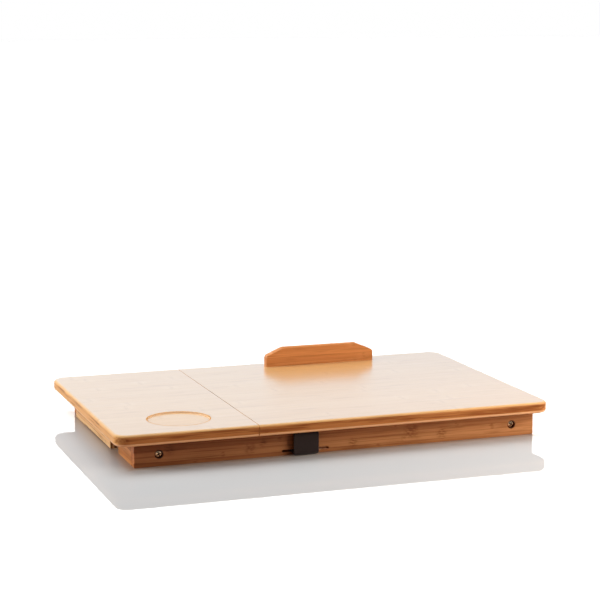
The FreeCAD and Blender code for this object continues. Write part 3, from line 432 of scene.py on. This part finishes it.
def bambooMaterial(name, finish):
    material, tree, shader = startMaterial(name)
    place = coordinates(tree, "Object")
    turned = addNode(tree, "ShaderNodeMapping", {"Vector": place, "Location": finish["shift"],
                                                 "Rotation": grainTurn(*finish["grain"])}).outputs[0]
    look = finish["look"]
    inputs = {"Vector": turned, "Strip Width": finish["strip"][0], "Strip Depth": finish["strip"][1],
              "Node Spacing": finish["spacing"], "Seed": finish["seed"], "Fibre": look["fibre"],
              "Node Mark": look["mark"], "Strip Contrast": look["contrast"], "Smudge": look["smudge"],
              "Layer Joint": look["joint"]}
    grain = addNode(tree, "ShaderNodeGroup", node_tree=bambooGrain)
    for key, value in {**inputs, **finish["tones"]}.items():
        feed(tree, grain.inputs[key], value)
    colour = grain.outputs["Color"]
    facing = axesOf(tree, coordinates(tree, "Normal"))
    upward = facing["Z"]
    sideCoat, topCoat = look["coat"]
    lacquer = topCoat
    if sideCoat != topCoat:
        lacquer = ramp(tree, upward, 0.7, 0.99, sideCoat, topCoat)
    gloss = ramp(tree, upward, 0.7, 0.99, sideGloss, look["specular"])
    if "scars" in finish:
        colour = railMarks(tree, colour, place, facing, finish)
    # painted light: faces that point along X are made paler, as if lit from the side
    if "sideLightTone" in finish:
        paler = toned(tree, colour, finish["sideLightTone"])
        colour = mixColour(tree, ramp(tree, doMath(tree, "ABSOLUTE", facing["X"]), 0.6, 0.9), colour, paler)
    if "endBand" in finish:
        colour = endBands(tree, colour, facing, turned, finish["endBand"])
    if finish is bambooFinishes["bambooTop"]:
        off = offCup(tree, place)
        colour = panelEdges(tree, colour, facing, off, place)
        cut = cupCut(tree, off)
        # the cut edge of the recess: a darker ring on its rim, and painted light on its wall
        ring = toned(tree, colour, cupEdge["ring"])
        paintedCutEdge = mixColour(tree, ramp(tree, upward, 0.2, 0.8), cupEdge["wall"], ring)
        colour = mixColour(tree, cut, colour, paintedCutEdge)
        kept = times(tree, doMath(tree, "SUBTRACT", 1.0, cut),
                      ramp(tree, off, -0.001, 0.0, cupEdge["floorCoat"], 1.0))
        lacquer = times(tree, lacquer, kept)
        gloss = times(tree, gloss, kept)
    feed(tree, shader.inputs["Base Color"], colour)
    feed(tree, shader.inputs["Roughness"], grain.outputs["Roughness"])
    addBump(tree, shader, grain.outputs["Height"], grainShape["bump"])
    feed(tree, shader.inputs["Coat Weight"], lacquer)
    feed(tree, shader.inputs["Specular IOR Level"], gloss)
    shader.inputs["Coat Roughness"].default_value = look["coatRough"]
    return material


def dress(material, names):
    for name in names:
        nodes[name].data.materials[0] = material


for finishName, finish in bambooFinishes.items():
    dress(bambooMaterial(finishName, finish), finish["nodes"])
print("bamboo finishes:", len(bambooFinishes))

# plated metal: bronze pivot bolts, zinc fittings
platedFinishes = {
    "bronzePlate": {"Bright": (1.0, 0.56, 0.30, 1), "Dull": (0.82, 0.42, 0.21, 1), "Blotch Size": 0.0022,
                    "Scratch": 0.2, "Haze": 0.06},
    "zincPlate": {"Bright": (0.74, 0.74, 0.72, 1), "Dull": (0.52, 0.53, 0.53, 1), "Blotch Size": 0.005,
                  "Scratch": 0.5, "Haze": 0.2},
}
zincNodes = ("strap_plate", "hinge_rail_leaf_left", "hinge_rail_leaf_right", "hinge_pin_left",
             "hinge_pin_right", "hinge_panel_leaf_left", "hinge_panel_leaf_right",
             "prop_bracket_left", "prop_bracket_right",
             "prop_pins", "prop_arm_left", "prop_arm_right", "prop_tip_rod", "left_leg_washers",
             "right_leg_washers", "left_leg_nuts", "right_leg_nuts")


def platedMaterial(name, finish):
    material, tree, shader = startMaterial(name)
    plating = addNode(tree, "ShaderNodeGroup", node_tree=wornPlating)
    feed(tree, plating.inputs["Vector"], coordinates(tree, "Object"))
    for key, value in finish.items():
        feed(tree, plating.inputs[key], value)
    feed(tree, shader.inputs["Base Color"], plating.outputs["Color"])
    feed(tree, shader.inputs["Roughness"], plating.outputs["Roughness"])
    addBump(tree, shader, plating.outputs["Height"], platingShape["bump"])
    shader.inputs["Metallic"].default_value = 1.0
    return material


plated = {name: platedMaterial(name, finish) for name, finish in platedFinishes.items()}
dress(plated["zincPlate"], zincNodes)
print("plated metal:", len(zincNodes), "nodes")

# thin pressed board of the drawer's floor
boardFinish = {"pale": (0.62, 0.45, 0.27, 1), "brown": (0.40, 0.26, 0.14, 1), "chip": 0.0011, "dust": 90.0,
               "share": 0.6, "bump": (0.25, 0.0001)}


def boardMaterial():
    material, tree, shader = startMaterial("pressedBoard")
    place = coordinates(tree, "Object")
    chips = addNode(tree, "ShaderNodeTexVoronoi", {"Vector": place, "Scale": 1 / boardFinish["chip"]})
    chips = chips.outputs["Distance"]
    dust = addNode(tree, "ShaderNodeTexNoise", {"Vector": place, "Scale": boardFinish["dust"],
                                                "Detail": 6.0}).outputs[0]
    mottle = times(tree, doMath(tree, "ADD", chips, dust), boardFinish["share"])
    feed(tree, shader.inputs["Base Color"], mixColour(tree, ramp(tree, mottle, 0.3, 0.8),
                                                      boardFinish["brown"], boardFinish["pale"]))
    feed(tree, shader.inputs["Roughness"], ramp(tree, dust, 0.2, 0.8, 0.55, 0.8))
    addBump(tree, shader, chips, boardFinish["bump"])
    return material


dress(boardMaterial(), ("drawer_floor",))

# black webbing strap: from its anchor plate through the slot, round the slack fold, up to the overhang
strap = {
    "thickness": 0.0016, "gap": 0.0004, "slotLift": 0.0054, "slotBend": 0.0012, "foldBend": 0.003,
    "anchorBend": 0.0008, "edgeRound": 0.0007, "foldPinch": 0.0019, "rib": 0.0016, "ribRelief": 0.00009,
    "step": 0.0004, "spread": 0.0018,
}
webbing = {"thread": (0.032, 0.022, 0.021, 1), "shade": (0.013, 0.0095, 0.0095, 1), "sheen": 0.25,
           "gloss": 0.2, "fuzz": 5200.0, "fuzzShare": 0.4, "bump": (0.5, 0.0001)}


def webbingMaterial():
    material, tree, shader = startMaterial("blackWebbing")
    cloth = addNode(tree, "ShaderNodeUVMap", uv_map="weave").outputs[0]
    axes = axesOf(tree, cloth)
    turn = 2 * math.pi / strap["rib"]
    warp = doMath(tree, "COSINE", times(tree, axes["X"], turn))
    weft = doMath(tree, "COSINE", times(tree, axes["Y"], turn))
    weave = times(tree, warp, weft)
    fuzz = addNode(tree, "ShaderNodeTexNoise", {"Vector": cloth, "Scale": webbing["fuzz"],
                                                "Detail": 3.0}).outputs[0]
    tone = ramp(tree, weave, -0.8, 0.8, 0.0, 0.7)
    tone = doMath(tree, "ADD", tone, times(tree, fuzz, webbing["fuzzShare"]))
    feed(tree, shader.inputs["Base Color"], mixColour(tree, tone, webbing["shade"], webbing["thread"]))
    feed(tree, shader.inputs["Roughness"], ramp(tree, fuzz, 0.2, 0.8, 0.7, 0.95))
    addBump(tree, shader, doMath(tree, "ADD", weave, fuzz), webbing["bump"])
    shader.inputs["Sheen Weight"].default_value = webbing["sheen"]
    shader.inputs["Specular IOR Level"].default_value = webbing["gloss"]
    return material


def arcPoints(centre, radius, start, end, step):
    count = max(4, int(abs(end - start) * radius / step))
    angles = [start + (end - start) * i / count for i in range(count + 1)]
    return [(centre[0] + radius * math.cos(a), centre[1] + radius * math.sin(a)) for a in angles]


def evenLine(points, step):
    places = [0.0]
    for a, b in zip(points, points[1:]):
        places.append(places[-1] + math.dist(a, b))
    count = round(places[-1] / step)
    line, index = [], 0
    for i in range(count + 1):
        at = places[-1] * i / count
        while index < len(points) - 2 and places[index + 1] < at:
            index += 1
        part = (at - places[index]) / max(places[index + 1] - places[index], 1e-9)
        a, b = points[index], points[index + 1]
        line.append((a[0] + (b[0] - a[0]) * part, a[1] + (b[1] - a[1]) * part))
    return line


def strapPath(low, high):
    # side view, as (y, z) along the middle of the tape
    half = strap["thickness"] / 2
    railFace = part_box("rear_rail")[0].y
    outer, bottom, top = low.y + half, low.z + half, high.z - half
    fold, bend = strap["foldBend"], strap["slotBend"]
    inner = outer + 2 * fold
    foldZ = bottom + fold
    anchor = high.y - half
    turn = strap["anchorBend"]
    slotZ = strap["slotLift"]
    quarter = math.pi / 2
    points = [(anchor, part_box("strap_plate")[1].z)]
    points += arcPoints((anchor - turn, slotZ + turn), turn, 0.0, -quarter, strap["step"])
    points += arcPoints((inner + bend, slotZ - bend), bend, quarter, 2 * quarter, strap["step"])
    points += arcPoints((outer + fold, foldZ), fold, 0.0, -2 * quarter, strap["step"])
    points += arcPoints((outer + fold, top - fold), fold, 2 * quarter, quarter, strap["step"])
    points.append((railFace - strap["gap"], top))
    return evenLine(points, strap["step"]), foldZ, outer


def strapSection(width):
    # across the tape: x offset, depth from the middle and whether the weave lifts the point
    half, rounding = strap["thickness"] / 2, strap["edgeRound"]
    flat = width / 2 - rounding
    count = round(2 * flat / strap["step"])
    face = [(-flat + 2 * flat * i / count, half, 1.0) for i in range(count + 1)]
    side = [(flat + rounding * math.sin(a), half * math.cos(a), 0.0)
            for a in (math.pi * i / 8 for i in range(1, 8))]
    back = [(-x, -depth, lift) for x, depth, lift in face]
    return face + side + back + [(-x, -depth, lift) for x, depth, lift in side]


def buildStrap(material):
    low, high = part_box("strap")
    line, foldZ, outer = strapPath(low, high)
    centre, width = (low.x + high.x) / 2, high.x - low.x + strap["spread"]
    section = strapSection(width)
    turn = 2 * math.pi / strap["rib"]
    relief = strap["ribRelief"]
    mesh = bmesh.new()
    weave = mesh.loops.layers.uv.new("weave")
    rings = []
    for i, (y, z) in enumerate(line):
        before, after = line[max(i - 1, 0)], line[min(i + 1, len(line) - 1)]
        run = Vector((0, after[0] - before[0], after[1] - before[1])).normalized()
        out = Vector((1, 0, 0)).cross(run)
        nearFold = max(0.0, 1 - max(0.0, z - foldZ + strap["foldBend"]) / strap["foldBend"])
        squeeze = 1 - strap["foldPinch"] * nearFold ** 2 / width * 2 * (y < outer + 2 * strap["foldBend"])
        ring = []
        for x, depth, lift in section:
            wave = math.cos(x * turn) * math.cos(i * strap["step"] * turn) - 1
            offset = depth + math.copysign(relief * wave * lift, depth)
            ring.append(mesh.verts.new(Vector((centre + x * squeeze, y, z)) + out * offset))
        rings.append(ring)
    size = len(section)
    for i in range(len(rings) - 1):
        for j in range(size):
            after = (j + 1) % size
            face = mesh.faces.new((rings[i][j], rings[i + 1][j], rings[i + 1][after], rings[i][after]))
            face.smooth = True
            places = ((i, j), (i + 1, j), (i + 1, after), (i, after))
            for loop, (row, column) in zip(face.loops, places):
                loop[weave].uv = (section[column][0], row * strap["step"])
    mesh.faces.new(rings[0])
    mesh.faces.new(reversed(rings[-1]))
    bmesh.ops.recalc_face_normals(mesh, faces=mesh.faces[:])
    return finishMesh("strapWebbing", mesh, material)


def finishMesh(name, mesh, material):
    data = bpy.data.meshes.new(name)
    mesh.to_mesh(data)
    mesh.free()
    return linkMesh(name, data, material)


def linkMesh(name, data, material):
    data.materials.clear()
    data.materials.append(material)
    piece = bpy.data.objects.new(name, data)
    bpy.context.scene.collection.objects.link(piece)
    return piece


strapPiece = buildStrap(webbingMaterial())
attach(strapPiece, "frame")
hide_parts("strap")
print("strap:", len(strapPiece.data.polygons), "faces")

# loop patch under the overhang
patchFinish = {"tuft": (0.03, 0.026, 0.026, 1), "root": (0.008, 0.007, 0.007, 1), "spacing": 0.0006,
               "bump": (0.7, 0.0003)}


def patchMaterial():
    material, tree, shader = startMaterial("loopPatch")
    place = coordinates(tree, "Object")
    tufts = addNode(tree, "ShaderNodeTexVoronoi", {"Vector": place, "Scale": 1 / patchFinish["spacing"]})
    tufts = tufts.outputs["Distance"]
    feed(tree, shader.inputs["Base Color"], mixColour(tree, tufts, patchFinish["tuft"], patchFinish["root"]))
    feed(tree, shader.inputs["Roughness"], ramp(tree, tufts, 0.0, 1.0, 0.75, 0.95))
    addBump(tree, shader, tufts, patchFinish["bump"], invert=True)
    return material


dress(patchMaterial(), ("strap_patch",))


# places of fasteners, read from the CAD nodes: the middle of each head's outer face
def headSpots(name, aim, apart):
    places = [vertex.co.copy() for vertex in nodes[name].data.vertices]
    level = max(place.dot(aim) for place in places)
    clusters = []
    for place in places:
        if level - place.dot(aim) > 1e-5:
            continue
        home = next((c for c in clusters if (c[0] - place).length < apart), None)
        if home is None:
            clusters.append([place])
        else:
            home.append(place)
    spots = []
    for cluster in clusters:
        low = [min(p[k] for p in cluster) for k in range(3)]
        high = [max(p[k] for p in cluster) for k in range(3)]
        spots.append((Vector(low) + Vector(high)) / 2)
    return spots


# geometry nodes for fasteners: one head and one shank set on each point, turned to its aim
sides = {"shank": 20, "bolt": 40, "screw": 32}


def attribute(tree, name, kind):
    return addNode(tree, "GeometryNodeInputNamedAttribute", {"Name": name}, data_type=kind).outputs[0]


def fastenerTree(name, inputs, buildHead):
    number = "NodeSocketFloat"
    sockets = {"Geometry": ("NodeSocketGeometry", None), "Metal": ("NodeSocketMaterial", None)}
    sockets.update({label: (number, value) for label, value in inputs.items()})
    tree, given, result = makeGroup(name, "GeometryNodeTree", sockets, {"Geometry": "NodeSocketGeometry"})
    aim = attribute(tree, "aim", "FLOAT_VECTOR")
    length = attribute(tree, "reach", "FLOAT")
    turn = addNode(tree, "FunctionNodeAlignRotationToVector", {"Vector": aim}, axis="Z").outputs[0]
    spin = addNode(tree, "FunctionNodeRandomValue", {"Min": (0, 0, 0), "Max": (0, 0, 2 * math.pi),
                                                     "Seed": 5}, data_type="FLOAT_VECTOR").outputs[0]
    spun = addNode(tree, "FunctionNodeRotateRotation", {0: turn, 1: spin}, rotation_space="LOCAL").outputs[0]
    rod = addNode(tree, "GeometryNodeMeshCylinder", {"Vertices": sides["shank"], "Depth": 1.0,
                                                     "Radius": given["Shank Radius"]}).outputs["Mesh"]
    shank = moved(tree, rod, (0, 0, -0.5))
    stretch = addNode(tree, "ShaderNodeCombineXYZ", {"X": 1.0, "Y": 1.0, "Z": length}).outputs[0]
    points = given["Geometry"]
    head = buildHead(tree, given)
    heads = addNode(tree, "GeometryNodeInstanceOnPoints", {"Points": points, "Instance": head,
                                                           "Rotation": spun})
    under = vectorMath(tree, "MULTIPLY", aim, minus(tree, given["Sink"]))
    starts = addNode(tree, "GeometryNodeSetPosition", {"Geometry": points, "Offset": under})
    shanks = addNode(tree, "GeometryNodeInstanceOnPoints", {"Points": starts.outputs[0], "Instance": shank,
                                                            "Rotation": turn, "Scale": stretch})
    both = addNode(tree, "GeometryNodeJoinGeometry")
    for instances in (shanks, heads):
        tree.links.new(instances.outputs[0], both.inputs[0])
    real = addNode(tree, "GeometryNodeRealizeInstances", {0: both.outputs[0]})
    painted = addNode(tree, "GeometryNodeSetMaterial", {"Geometry": real.outputs[0],
                                                        "Material": given["Metal"]})
    feed(tree, result["Geometry"], painted.outputs[0])
    return tree


def moved(tree, geometry, offset):
    return addNode(tree, "GeometryNodeTransform", {"Geometry": geometry, "Translation": offset}).outputs[0]


def cone(tree, corners, bottom, top, depth, lift):
    shape = addNode(tree, "GeometryNodeMeshCone", {"Vertices": corners, "Radius Bottom": bottom,
                                                   "Radius Top": top, "Depth": depth}).outputs["Mesh"]
    return moved(tree, shape, addNode(tree, "ShaderNodeCombineXYZ", {"Z": lift}).outputs[0])


def carve(tree, solid, cutter):
    node = addNode(tree, "GeometryNodeMeshBoolean", {"Mesh 1": solid, "Mesh 2": cutter},
                   operation="DIFFERENCE", solver="EXACT")
    return node.outputs["Mesh"]


def join(tree, shapes):
    node = addNode(tree, "GeometryNodeMeshBoolean", operation="UNION", solver="EXACT")
    for shape in shapes:
        tree.links.new(shape, node.inputs["Mesh 2"])
    return node.outputs["Mesh"]


def minus(tree, value):
    return times(tree, value, -1.0)


def crossRecess(tree, given):
    arm, slot = given["Cross Length"], given["Cross Width"]
    deep = times(tree, given["Sink"], 2.0)
    bars = []
    for x, y in ((arm, slot), (slot, arm)):
        size = addNode(tree, "ShaderNodeCombineXYZ", {"X": x, "Y": y, "Z": deep}).outputs[0]
        bars.append(addNode(tree, "GeometryNodeMeshCube", {"Size": size}).outputs["Mesh"])
    return join(tree, bars)


# pan head: straight rim, domed top, cross recess
def boltHead(tree, given):
    radius, height, dome = given["Head Radius"], given["Head Height"], given["Dome"]
    corners = sides["bolt"]
    body = cone(tree, corners, radius, radius, doMath(tree, "SUBTRACT", height, dome), minus(tree, height))
    ball = addNode(tree, "GeometryNodeMeshUVSphere", {"Segments": corners, "Rings": corners // 2,
                                                      "Radius": 1.0}).outputs["Mesh"]
    flat = addNode(tree, "ShaderNodeCombineXYZ", {"X": radius, "Y": radius, "Z": dome}).outputs[0]
    down = addNode(tree, "ShaderNodeCombineXYZ", {"Z": minus(tree, dome)}).outputs[0]
    cap = addNode(tree, "GeometryNodeTransform", {"Geometry": ball, "Translation": down, "Scale": flat})
    return carve(tree, join(tree, (body, cap.outputs[0])), crossRecess(tree, given))


# countersunk head with a cross recess
def screwHead(tree, given):
    radius, height, shank = given["Head Radius"], given["Head Height"], given["Shank Radius"]
    head = cone(tree, sides["screw"], shank, radius, height, minus(tree, height))
    return carve(tree, head, crossRecess(tree, given))


def setFasteners(name, tree, spots, values, material):
    # spots: place, aim and reach of each fastener
    data = bpy.data.meshes.new(name)
    data.from_pydata([place for place, aim, reach in spots], [], [])
    data.attributes.new("aim", "FLOAT_VECTOR", "POINT").data.foreach_set(
        "vector", [part for place, aim, reach in spots for part in aim])
    data.attributes.new("reach", "FLOAT", "POINT").data.foreach_set(
        "value", [reach for place, aim, reach in spots])
    holder = linkMesh(name + "Points", data, material)
    modifier = holder.modifiers.new(name, "NODES")
    modifier.node_group = tree
    labels = {item.name: item.identifier for item in tree.interface.items_tree if item.in_out == "INPUT"}
    modifier[labels["Metal"]] = material
    for label, value in values.items():
        modifier[labels[label]] = value
    seen = holder.evaluated_get(bpy.context.evaluated_depsgraph_get())
    made = bpy.data.meshes.new_from_object(seen)
    holder.modifiers.remove(modifier)
    bpy.data.objects.remove(holder)
    made.name = name
    return linkMesh(name, made, material)


# leg pivot bolts, sunk in the long rails
bolt = {"Head Radius": 0.0043, "Head Height": 0.0024, "Dome": 0.0014, "Cross Length": 0.0056,
        "Cross Width": 0.0014, "Sink": 0.0021, "Shank Radius": 0.003}
towards = {"rear": Vector((0, -1, 0)), "front": Vector((0, 1, 0)), "under": Vector((0, 0, -1))}


def boltSpots():
    spots = []
    for name in ("left_leg_bolts", "right_leg_bolts"):
        low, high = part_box(name)
        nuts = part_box(name.replace("bolts", "nuts"))
        for side, face, nut in (("rear", low.y, nuts[0].y), ("front", high.y, nuts[1].y)):
            reach = abs(face - nut) - bolt["Sink"]
            for place in headSpots(name, towards[side], 4 * bolt["Head Radius"]):
                spots.append((place, towards[side], reach))
    return spots


boltPiece = setFasteners("pivotBolts", fastenerTree("pivotBoltNodes", bolt, boltHead), boltSpots(), bolt,
                         plated["bronzePlate"])
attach(boltPiece, "frame")
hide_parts("left_leg_bolts", "right_leg_bolts")
print("pivot bolts:", len(boltPiece.data.polygons), "faces")

# countersunk screws of the hinges, the cleat and the strap's plate
screw = {"Head Radius": 0.0026, "Head Height": 0.0014, "Shank Radius": 0.0013, "Cross Length": 0.0030,
         "Cross Width": 0.0007, "Sink": 0.0008}
screwSets = {
    "frame": {"hinge_rail_screws": "front", "cleat_screws": "under", "strap_screws": "front"},
    "tilting_top": {"hinge_panel_screws": "under"},
}
screwTree = fastenerTree("woodScrewNodes", screw, screwHead)
for body, sets in screwSets.items():
    spots = []
    for name, side in sets.items():
        low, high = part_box(name)
        reach = abs((high - low).dot(towards[side])) - screw["Sink"]
        places = headSpots(name, towards[side], 4 * screw["Head Radius"])
        spots += [(place, towards[side], reach) for place in places]
    piece = setFasteners(body + "Screws", screwTree, spots, screw, plated["zincPlate"])
    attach(piece, body)
    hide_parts(*sets)
    print("screws on", body, len(spots))

# glossy white table and soft studio light
floor = {
    "size": 40.0, "drop": 0.0001, "seen": (0.467, 0.492, 0.515, 1), "bounce": (0.35, 0.215, 0.16, 1),
    # contact: painted brown shadow along the foot of the frame
    "mirror": (0.092, 0.090, 0.088, 1), "contactShadow": (0.36, 0.285, 0.235, 1), "contactShadowReach": 0.014,
    "glow": 0.01, "farGlow": 0.6, "farFrom": 0.45, "farTo": 1.0,
}
sky = {
    "ambient": (1.0, 0.9, 0.8, 1), "ambientStrength": 0.06, "backdrop": (1, 1, 1, 1),
    "mirrored": (0.80, 1.03, 1.27, 1), "mirroredBehind": 0.25, "mirroredSides": 1.0, "mirroredBelow": 0.3,
    "behind": (-0.4, 0.1), "sides": (0.5, 0.65), "below": (-0.2, 0.0), "inFloor": 8.0,
}
lamps = {
    "overhead": {"spot": (-0.35, 0.58, 1.9), "aim": (0, 0, 0), "size": (2.2, 1.6), "watts": 43.0,
                 "tint": (1, 1, 1)},
    "leftPanel": {"spot": (-1.5, 0.35, 0.55), "aim": (-0.2, 0, 0.02), "size": (1.2, 0.9), "watts": 18.5,
                  "tint": (1, 0.95, 0.88)},
    "rightFill": {"spot": (0.62, -0.6, 0.3), "aim": (0.2, -0.16, 0.02), "size": (0.8, 0.45), "watts": 7.0,
                  "tint": (1, 0.86, 0.74)},
    "frontTop": {"spot": (0.5, -1.2, 1.2), "aim": (0.05, 0, 0.02), "size": (0.9, 0.6), "watts": 1.3,
                 "tint": (1, 0.74, 0.52)},
    "underFill": {"spot": (0, 0, -0.8), "aim": (0, 0, 0), "size": (1.6, 1.2), "watts": 4.0,
                  "tint": (1, 0.95, 0.9)},
}


def buildFloor():
    half = floor["size"] / 2
    mesh = bmesh.new()
    corners = ((-half, -half), (half, -half), (half, half), (-half, half))
    mesh.faces.new([mesh.verts.new((x, y, -floor["drop"])) for x, y in corners])
    material, tree, shader = startMaterial("studioTable")
    place = coordinates(tree, "Object")
    path = addNode(tree, "ShaderNodeLightPath").outputs
    seen = path["Is Camera Ray"]
    pale = doMath(tree, "MAXIMUM", seen, path["Is Glossy Ray"])
    mirror = addNode(tree, "ShaderNodeBsdfAnisotropic", {
        "Color": mixColour(tree, seen, (0, 0, 0, 1), floor["mirror"]), "Roughness": 0.0})
    both = addNode(tree, "ShaderNodeAddShader", {0: shader.outputs[0], 1: mirror.outputs[0]})
    # clear from below, and to light inside the frame's outline, so that the underside and open legs show
    low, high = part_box("rear_rail")[0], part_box("front_rail")[1]
    axes = axesOf(tree, place)
    past = []
    for k, axis in enumerate("XY"):
        off = doMath(tree, "ABSOLUTE", doMath(tree, "SUBTRACT", axes[axis], (low[k] + high[k]) / 2))
        past.append(doMath(tree, "SUBTRACT", off, (high[k] - low[k]) / 2))
    outside = doMath(tree, "MAXIMUM", *past)
    under = times(tree, doMath(tree, "LESS_THAN", outside, 0.0), doMath(tree, "SUBTRACT", 1.0, seen))
    behind = addNode(tree, "ShaderNodeNewGeometry").outputs["Backfacing"]
    through = doMath(tree, "MAXIMUM", behind, under)
    clear = addNode(tree, "ShaderNodeBsdfTransparent")
    oneSided = addNode(tree, "ShaderNodeMixShader", {0: through, 1: both.outputs[0], 2: clear.outputs[0]})
    output = next(node for node in tree.nodes if node.type == "OUTPUT_MATERIAL")
    tree.links.new(oneSided.outputs[0], output.inputs["Surface"])
    # painted brown shadow on the floor along the foot of the frame, but not past its bright right end
    plain = ramp(tree, outside, 0.0, floor["contactShadowReach"])
    plain = doMath(tree, "MAXIMUM", plain, doMath(tree, "GREATER_THAN", axes["X"], high[0]))
    shadowed = mixColour(tree, plain, floor["contactShadow"], floor["seen"])
    feed(tree, shader.inputs["Base Color"], mixColour(tree, pale, floor["bounce"], shadowed))
    shader.inputs["Roughness"].default_value = 1.0
    shader.inputs["Specular IOR Level"].default_value = 0.0
    # the table burns out to white away from the object
    reach = vectorMath(tree, "LENGTH", place)
    glow = ramp(tree, reach, floor["farFrom"], floor["farTo"], floor["glow"], floor["farGlow"])
    feed(tree, shader.inputs["Emission Strength"], times(tree, glow, seen))
    shader.inputs["Emission Color"].default_value = (1, 1, 1, 1)
    finishMesh("studioFloor", mesh, material)


def buildSky():
    world = bpy.data.worlds.new("studio")
    bpy.context.scene.world = world
    world.use_nodes = True
    tree = world.node_tree
    tree.nodes.clear()
    path = addNode(tree, "ShaderNodeLightPath").outputs
    aim = axesOf(tree, coordinates(tree, "Generated"))
    mirrored = ramp(tree, aim["Y"], *sky["behind"], sky["mirroredBehind"], 1.0)
    sideways = ramp(tree, doMath(tree, "ABSOLUTE", aim["X"]), *sky["sides"], 0.0, sky["mirroredSides"])
    below = ramp(tree, aim["Z"], *sky["below"], sky["mirroredBelow"], 1.0)
    mirrored = times(tree, doMath(tree, "MAXIMUM", mirrored, sideways), below)

    def glow(colour, strength):
        return addNode(tree, "ShaderNodeBackground", {"Color": colour, "Strength": strength}).outputs[0]

    def choose(factor, first, second):
        return addNode(tree, "ShaderNodeMixShader", {0: factor, 1: first, 2: second}).outputs[0]

    glossy = doMath(tree, "MAXIMUM", path["Is Glossy Ray"], path["Is Transmission Ray"])
    lit = choose(glossy, glow(sky["ambient"], sky["ambientStrength"]), glow(sky["mirrored"], mirrored))
    lit = choose(path["Is Singular Ray"], lit, glow(sky["backdrop"], sky["inFloor"]))
    lit = choose(path["Is Camera Ray"], lit, glow(sky["backdrop"], 1.0))
    feed(tree, addNode(tree, "ShaderNodeOutputWorld").inputs["Surface"], lit)


def addLamp(name, facts):
    light = bpy.data.lights.new(name, "AREA")
    light.shape = "RECTANGLE"
    light.size, light.size_y = facts["size"]
    light.energy = facts["watts"]
    light.color = facts["tint"]
    lamp = bpy.data.objects.new(name, light)
    lamp.location = facts["spot"]
    lamp.visible_glossy = False  # mirrors show the sky
    lamp.rotation_euler = (Vector(facts["aim"]) - Vector(facts["spot"])).to_track_quat("-Z", "Y").to_euler()
    bpy.context.scene.collection.objects.link(lamp)


buildFloor()
buildSky()
for lampName, facts in lamps.items():
    addLamp(lampName, facts)
print("studio:", len(lamps), "lamps")

# camera at the photograph's angle
view = {"spot": (-0.7611, -2.1633, 0.5377), "turn": 19.59, "drop": 9.37, "focalPixels": 1839.3,
        "framePixels": 600.0}


def addCamera():
    lens = bpy.data.cameras.new("photoView")
    lens.sensor_width = 36.0
    lens.lens = view["focalPixels"] / view["framePixels"] * lens.sensor_width
    lens.clip_end = 100.0
    turn, drop = math.radians(view["turn"]), math.radians(view["drop"])
    ahead = Vector((math.sin(turn) * math.cos(drop), math.cos(turn) * math.cos(drop), -math.sin(drop)))
    camera = bpy.data.objects.new("photoView", lens)
    camera.location = view["spot"]
    camera.rotation_euler = ahead.to_track_quat("-Z", "Y").to_euler()
    bpy.context.scene.collection.objects.link(camera)
    bpy.context.scene.camera = camera


addCamera()
bpy.context.scene.view_settings.view_transform = "Standard"
